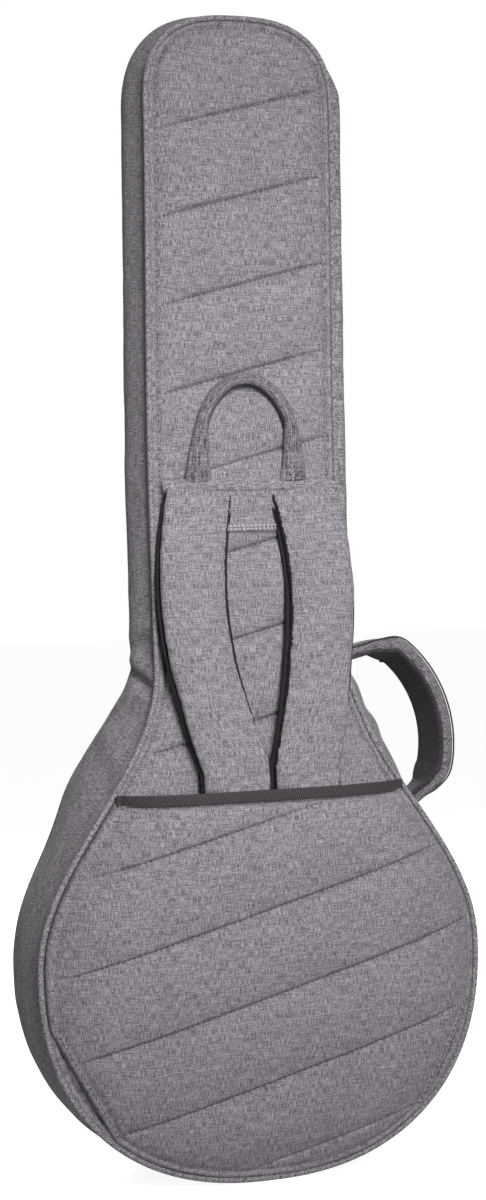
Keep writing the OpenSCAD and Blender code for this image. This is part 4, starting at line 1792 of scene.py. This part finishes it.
@dataclass
class FrontLid:
    """The quilted front panel with its accessory pocket."""

    quilting: Quilting = Quilting(lines=tuple(0.94 - 0.0763 * k for k in range(13)), slope=-0.27)
    pocket_top: float = 0.300
    pocket_inset: float = 0.012
    pocket_depth: float = 0.014
    zip_z: float = 0.284
    zip_half: float = 0.115

    def depth(self, x: Array, z: Array) -> Array:
        """The y of the lid's outer face."""
        return BAG.front(z) + self.quilting.height(x, z, FRONT.inside(x, z))

    def make_cover(self) -> None:
        """The outer cloth with its channels."""

        def spread(u: Array, v: Array) -> Pair:
            """The lid up to its piping."""
            return FRONT.fill(u, v, 0.0005)

        bm = quilted(72, 200, spread, self.depth, self.quilting, TO_FRONT, 0.71)
        make_piece("front_cover", bm, Finish.CLOTH,
                   "lid", "lid_panel", "lid_foam_pad", thickness=CLOTH_THICK, fill=0.5)

    def make_pocket(self) -> None:
        """The padded pocket over the front of the bout."""
        low = BAG.share_at(0.060, 0.0, 0.25)
        high = BAG.share_at(self.pocket_top - 0.012, 0.0, 0.25)

        def mapping(u: Array, v: Array) -> Pair:
            """The pocket with its side wall."""
            wall = 0.12
            ring = np.maximum(np.abs(2 * u - 1), np.abs(2 * v - 1))
            a, b = u, v
            span = BAG.edge(np.array([high]), -self.pocket_inset)

            def bottom(c: Array) -> Array:
                """The bottom edge of the pocket."""
                return np.stack(BAG.edge(low * (2 * c - 1), -self.pocket_inset), 1)

            def right(c: Array) -> Array:
                """The right edge of the pocket."""
                return np.stack(BAG.edge(low + (high - low) * c, -self.pocket_inset), 1)

            def left(c: Array) -> Array:
                """The left edge of the pocket."""
                return right(c) * [-1, 1]

            def top(c: Array) -> Array:
                """The top edge of the pocket."""
                x = (2 * c - 1) * span[0][0]
                return stacked(x, span[1][0] + 0.006 * (1 - np.abs(2 * c - 1) ** 6))

            x, z = patch(a, b, bottom, right, top, left)
            rise = np.clip((1 - ring) / wall, 0, 1)
            shell = (1 - (1 - rise) ** 3.0)
            puff = 0.0018 * (1 - np.exp(-np.clip(1 - ring - wall, 0, 1) / 0.2))
            slot = 0.0016 * np.exp(-((z - self.zip_z) / 0.009) ** 4) * (np.abs(x) < self.zip_half + 0.004)
            slack = shell * 0.0007 * ripple(level(x, z), 0.045, 12.0)
            y = BAG.body_depth + 0.0022 + (self.pocket_depth - 0.0022) * shell + puff + slack - slot
            return stacked(x, y, z), stacked(x, z)

        piece = new_object("front_pocket_cover", mapped(120, 110, mapping, outward=TO_FRONT))
        thicken(piece, 0.0014)
        dress(piece, Finish.CLOTH)
        on_body(piece, "lid", "front_pocket")

    def make_pocket_zip(self) -> None:
        """Tape and coil of the pocket's zip."""
        face = BAG.body_depth + self.pocket_depth
        for name, half_tall, lift, finish, node, teeth in (
                ("front_zip_tape", 0.0075, -0.0004, Finish.WEBBING, "front_pocket_tape", 0.0),
                ("front_zip_coil", 0.0030, 0.0002, Finish.COIL, "front_pocket_chain", 0.0010)):

            def mapping(u: Array, v: Array, tall: float = half_tall, out: float = lift,
                        bite: float = teeth) -> Pair:
                """One side of the zip tape."""
                x = (2 * u - 1) * self.zip_half
                z = self.zip_z + (2 * v - 1) * tall
                tooth = 0.5 + 0.5 * np.sign(np.sin(2 * math.pi * x / 0.003))
                y = face + out + bite * (1 - (2 * v - 1) ** 2) * (0.5 + 0.5 * tooth)
                return stacked(x, y, z), stacked(z, x)

            columns = 306 if teeth else 60
            piece = new_object(name, mapped(columns, 6, mapping, outward=TO_FRONT))
            thicken(piece, 0.0010)
            dress(piece, finish)
            on_body(piece, "lid", node)

    def build(self) -> None:
        """Makes the lid."""
        self.make_cover()
        self.make_pocket()
        self.make_pocket_zip()


# ---------------------------------------------------------------- inside


@dataclass
class Inside:
    """Linings, bumpers and the neck rest."""

    wall: float = 0.011
    lid_gap: float = 0.0097

    def make_linings(self) -> None:
        """Plush lining on the back, the wall and the lid."""

        def back(u: Array, v: Array) -> Pair:
            """The lining on the back panel."""
            x, z = BAG.fill(u, v, 0.007)
            soft = 0.0006 * ripple(level(x, z), 0.05, 21.0)
            return stacked(x, self.wall + soft, z), stacked(x, z)

        def lid(u: Array, v: Array) -> Pair:
            """The lining on the lid."""
            x, z = BAG.fill(u, v, 0.001)
            soft = 0.0005 * (1 + ripple(level(x, z), 0.05, 23.0))
            return stacked(x, BAG.front(z) - self.lid_gap + soft, z), stacked(x, z)

        def side(u: Array, v: Array) -> Pair:
            """The lining on the side wall."""
            z0 = BAG.edge(u)[1]
            y = 0.0105 + (BAG.front(z0) - 0.0102 - 0.0105) * v
            soft = 0.0005 * ripple(stacked(u * BAG.length, y, 0 * y), 0.05, 25.0)
            flare = np.clip((v - 0.86) / 0.14, 0, 1) ** 2
            wall, rim = BAG.edge(u, -0.0072 + soft), FRONT.edge(u, -0.0026)
            x, z = ((1 - flare) * near + flare * far for near, far in zip(wall, rim))
            return stacked(x, y, z), stacked(u * BAG.length, y)

        for name, mapping, out, body, node in (
                ("back_lining_plush", back, TO_FRONT, "case", "back_lining"),
                ("lid_lining_plush", lid, TO_BACK, "lid", "lid_lining")):
            make_piece(name, mapped(40, 110, mapping, outward=out), Finish.PLUSH,
                       body, node, thickness=LINING_THICK, fill=0.3)
        bm = mapped(360, 6, side, closed=True)
        bmesh.ops.reverse_faces(bm, faces=bm.faces)
        make_piece("side_lining_plush", bm, Finish.PLUSH,
                   "case", "gusset_lining", thickness=LINING_THICK, fill=0.3)

    def rim_strip(self, name: str, node: str, low: float, high: float, depth: float) -> None:
        """A foam bumper round one end of the inside.

        Args:
            name: Name of the piece.
            node: The CAD node that it stands for.
            low: Share of the edge where it starts.
            high: Share of the edge where it ends.
            depth: How far it stands in from the lining.
        """

        def line(v: Array) -> Array:
            """The middle line of the strip."""
            s = low + (high - low) * v
            x, z = BAG.edge(s, -0.0074 - depth / 2)
            y = (0.0120 + BAG.front(z) - 0.0115) / 2
            return stacked(x, y, z)

        def up(v: Array) -> Array:
            """The direction into the bag."""
            x, z = BAG.edge(low + (high - low) * v, 0.0)
            x1, z1 = BAG.edge(low + (high - low) * v, 0.01)
            return stacked(x1 - x, 0 * x, z1 - z)

        def half_side(v: Array) -> Array:
            """Half the width of the strip."""
            z = line(v)[:, 2]
            return (BAG.front(z) - 0.0235) / 2 * (1 - 0.25 * np.abs(2 * v - 1) ** 8)

        pad = Sweep(line, up, half_side, lambda v: depth / 2 * (1 - 0.5 * np.abs(2 * v - 1) ** 6), power=4.0,
                    length=0.3)
        make_piece(name, pad.mesh(28, 80), Finish.PLUSH, "case", node, fill=0.8)

    def make_neck_rest(self) -> None:
        """The covered foam rest for the instrument's neck, and its hook-and-loop strap."""
        low, high = (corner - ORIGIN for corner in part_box("neck_rest"))
        bm = bmesh.new()
        bmesh.ops.create_cube(bm, size=1.0)
        bmesh.ops.scale(bm, vec=high - low - Vector((0.004, 0.002, 0.004)), verts=bm.verts)
        bmesh.ops.translate(bm, vec=(low + high) / 2, verts=bm.verts)
        bmesh.ops.subdivide_edges(bm, edges=bm.edges, cuts=23, use_grid_fill=True)
        for vert in bm.verts:
            across = abs(vert.co.x - (low.x + high.x) / 2)
            share = (vert.co.y - low.y) / (high.y - low.y)
            radius = 0.0262
            dip = math.sqrt(max(0.0, radius ** 2 - across ** 2)) - 0.004 if across < radius else 0.0
            vert.co.y -= max(0.0, dip) * max(0.0, share)
        piece = new_object("neck_rest_pad", bm)
        Inflation(voxel=0.0040, pressure=3.0, cap=0.0015).fill(piece)
        lay_cloth(piece, lambda p: stacked(p[:, 0] + 0.6 * p[:, 1], p[:, 2] + 0.6 * p[:, 1]))
        dress(piece, Finish.PLUSH)
        on_body(piece, "case", "neck_rest")
        low, high = (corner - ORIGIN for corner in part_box("neck_strap"))

        def line(v: Array) -> Array:
            """The middle line of the rest."""
            x = low.x + (high.x - low.x) * v
            y = (low.y + high.y) / 2 + 0.0010 * np.sin(math.pi * v)
            return stacked(x, y, np.full_like(x, (low.z + high.z) / 2))

        tape = Sweep(line, FORWARD,
                     steady((high.z - low.z) / 2), steady(0.0012),
                     power=5.0, length=high.x - low.x)
        make_piece("neck_strap_tape", tape.mesh(20, 60), Finish.WEBBING, "neck_strap", "neck_strap")

    def build(self) -> None:
        """Makes the inside."""
        self.make_linings()
        bottom = BAG.share_at(0.060, 0.0, 0.25)
        top = BAG.share_at(0.972, 0.25, 0.5)
        self.rim_strip("bottom_bumper_pad", "bottom_bumper", -bottom, bottom, 0.0135)
        self.rim_strip("headstock_bumper_pad", "headstock_pad", top, 1 - top, 0.0115)
        self.make_neck_rest()


# ---------------------------------------------------------------- hardware


@dataclass
class Hardware:
    """CAD pieces whose shape is right, which only need a finish."""

    metal: tuple[str, ...] = ("front_slider", "front_puller", "zip_slider_upper", "zip_puller_upper",
                              "zip_slider_lower", "zip_puller_lower")

    def finish_node(self, name: str, finish: Finish) -> None:
        """Gives a CAD node a detailed finish."""
        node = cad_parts[name]
        node.data.materials.clear()
        node.data.materials.append(material(finish))

    def tape(self, name: str, node: str, foot: Vector, head: Vector, half: float) -> None:
        """A flat length of webbing between two points of the back panel.

        Args:
            name: Name of the piece.
            node: The CAD node that it stands for.
            foot: Lower end, in the bag's own places.
            head: Upper end.
            half: Half its width.
        """

        def line(v: Array) -> Array:
            """The tape from its foot to its head."""
            run = np.array(foot)[None, :] + (np.array(head) - np.array(foot))[None, :] * v[:, None]
            run[:, 1] -= 0.0012 * np.sin(math.pi * v)
            return run

        band = Sweep(line, BACKWARD, steady(half), steady(0.0008), power=5.0, length=(head - foot).length)
        make_piece(name, band.mesh(16, 40), Finish.WEBBING, "case", node)

    def build(self) -> None:
        """Finishes the hardware and lays the hidden webbing."""
        for name in self.metal:
            self.finish_node(name, Finish.METAL)
        parts_by_side = ((-1, "left"), (1, "right"))
        for side, word in parts_by_side:
            foot = Vector((side * 0.143, -0.0034, 0.092))
            head = Vector((0.005 + side * 0.042, -0.0046, 0.192))
            self.tape(f"anchor_webbing_{word}", "strap_webbing", foot, head, 0.0125)
            low = Vector((side * 0.150, -0.0014, 0.083))
            high = Vector((side * 0.136, -0.0014, 0.101))
            self.tape(f"anchor_tab_{word}", "strap_anchors", low, high, 0.0125)
        low, high = (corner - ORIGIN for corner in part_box("lid_hinge"))

        def hinge(u: Array, v: Array) -> Pair:
            """The cloth hinge, folded along the wall."""
            y = low.y + (high.y - low.y) * u
            z = low.z + (high.z - low.z) * v
            x = low.x + 0.0044 - 0.0008 * (1 - (2 * u - 1) ** 2)
            return stacked(x, y, z), stacked(y, z)

        piece = new_object("lid_hinge_cloth", mapped(12, 30, hinge, outward=TO_HINGE))
        thicken(piece, 0.0010)
        dress(piece, Finish.CLOTH)
        on_body(piece, "case", "lid_hinge")


# ---------------------------------------------------------------- studio


@dataclass
class Studio:
    """Camera, lights, floor and plain background."""

    yaw: float = math.radians(17.0)
    pitch: float = math.radians(-0.216)
    roll: float = math.radians(1.939)
    lens: float = 57.46
    shift_up: float = 0.0064
    camera: tuple[float, float, float] = (-0.4979, -1.5982, 0.4893)
    floor_gap: float = 0.004
    ambient: float = 0.155
    floor_glow: float = 0.90

    def make_camera(self) -> None:
        """The camera at grip height, to the left of the bag and turned towards it."""
        about_z = Matrix.Rotation(self.yaw, 3, "Z")
        about_x = Matrix.Rotation(self.pitch, 3, "X")
        about_y = Matrix.Rotation(-self.roll, 3, "Y")
        right, ahead, up = about_y @ about_x @ about_z
        turn = Matrix((right, up, -ahead)).transposed()
        data = bpy.data.cameras.new("camera")
        data.lens = self.lens
        data.sensor_width = 36.0
        data.shift_y = self.shift_up
        data.clip_start, data.clip_end = 0.05, 50.0
        camera = bpy.data.objects.new("camera", data)
        camera.matrix_world = Matrix.Translation(placed(*self.camera)) @ turn.to_4x4()
        bpy.context.scene.collection.objects.link(camera)
        bpy.context.scene.camera = camera

    def light(self, name: str, place: tuple[float, float, float], size: float, power: float,
              spread: float = 180.0) -> None:
        """A soft square light aimed at the middle of the bag.

        Args:
            name: Name of the light.
            place: Where it stands, in the bag's own places.
            size: Length of its side.
            power: Its power in watts.
            spread: Angle of its beam, in degrees.
        """
        data = bpy.data.lights.new(name, "AREA")
        data.size = size
        data.energy = power
        data.spread = math.radians(spread)
        lamp = bpy.data.objects.new(name, data)
        lamp.location = placed(*place)
        aim = placed(0, 0.04, 0.50) - lamp.location
        lamp.rotation_mode = "QUATERNION"
        lamp.rotation_quaternion = aim.to_track_quat("-Z", "Y")
        bpy.context.scene.collection.objects.link(lamp)

    def make_lights(self) -> None:
        """A key from above and in front, a weak fill, and a wide light behind."""
        self.light("key", (-0.10, -1.75, 1.50), size=0.6, power=3.6, spread=60.0)
        self.light("front", (0.05, -1.95, 0.66), size=0.6, power=1.8, spread=60.0)
        self.light("behind", (0.5, 2.4, 1.4), size=1.4, power=62.0)

    def make_world(self) -> None:
        """White behind the bag, and a weaker grey as light."""
        world = bpy.data.worlds.new("studio")
        world.use_nodes = True
        tree = world.node_tree
        tree.nodes.clear()
        output = tree.nodes.new("ShaderNodeOutputWorld")
        mix = tree.nodes.new("ShaderNodeMixShader")
        path = tree.nodes.new("ShaderNodeLightPath")
        around = tree.nodes.new("ShaderNodeBackground")
        behind = tree.nodes.new("ShaderNodeBackground")
        around.inputs[0].default_value = (1.0, 0.99, 0.985, 1.0)
        around.inputs[1].default_value = self.ambient
        behind.inputs[0].default_value = (1.0, 1.0, 1.0, 1.0)
        behind.inputs[1].default_value = 1.0
        tree.links.new(path.outputs["Is Camera Ray"], mix.inputs[0])
        tree.links.new(around.outputs[0], mix.inputs[1])
        tree.links.new(behind.outputs[0], mix.inputs[2])
        tree.links.new(mix.outputs[0], output.inputs[0])
        bpy.context.scene.world = world

    def make_floor(self) -> None:
        """A plain pale floor just below the bag."""
        bm = bmesh.new()
        bmesh.ops.create_grid(bm, x_segments=2, y_segments=2, size=40.0)
        bmesh.ops.translate(bm, vec=Vector((0, 0, -self.floor_gap)), verts=bm.verts)
        floor = new_object("floor", bm)
        nodes = Nodes("pale_floor")
        grain = nodes.noise(nodes.object_place(), (40.0, 40.0, 40.0), 2.0)
        colour = nodes.ramp(grain, [(0.0, (0.44, 0.44, 0.44)), (1.0, (0.48, 0.48, 0.48))])
        nodes.finish(colour, 0.9, specular=0.1)
        seen = nodes.add("ShaderNodeLightPath").outputs["Is Camera Ray"]
        nodes.shader.inputs["Emission Color"].default_value = (1.0, 1.0, 1.0, 1.0)
        nodes.plug(nodes.math("MULTIPLY", seen, self.floor_glow), nodes.shader.inputs["Emission Strength"])
        floor.data.materials.append(nodes.material)

    def build(self) -> None:
        """Sets up the studio."""
        self.make_camera()
        self.make_lights()
        self.make_world()
        self.make_floor()
        bpy.context.scene.view_settings.view_transform = "Standard"


def main() -> None:
    """Builds the studio and every sub-assembly."""
    logging.basicConfig(level=logging.INFO, format="%(name)s: %(message)s")
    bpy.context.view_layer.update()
    Studio().build()
    panel = BackPanel()
    panel.build()
    SideWall().build()
    BackPocket().build(panel)
    Yoke().build(panel)
    for side in Side:
        ShoulderStrap(side).build()
    SideHandle().build()
    FrontLid().build()
    Inside().build()
    Hardware().build()


if __name__ == "__main__":
    main()
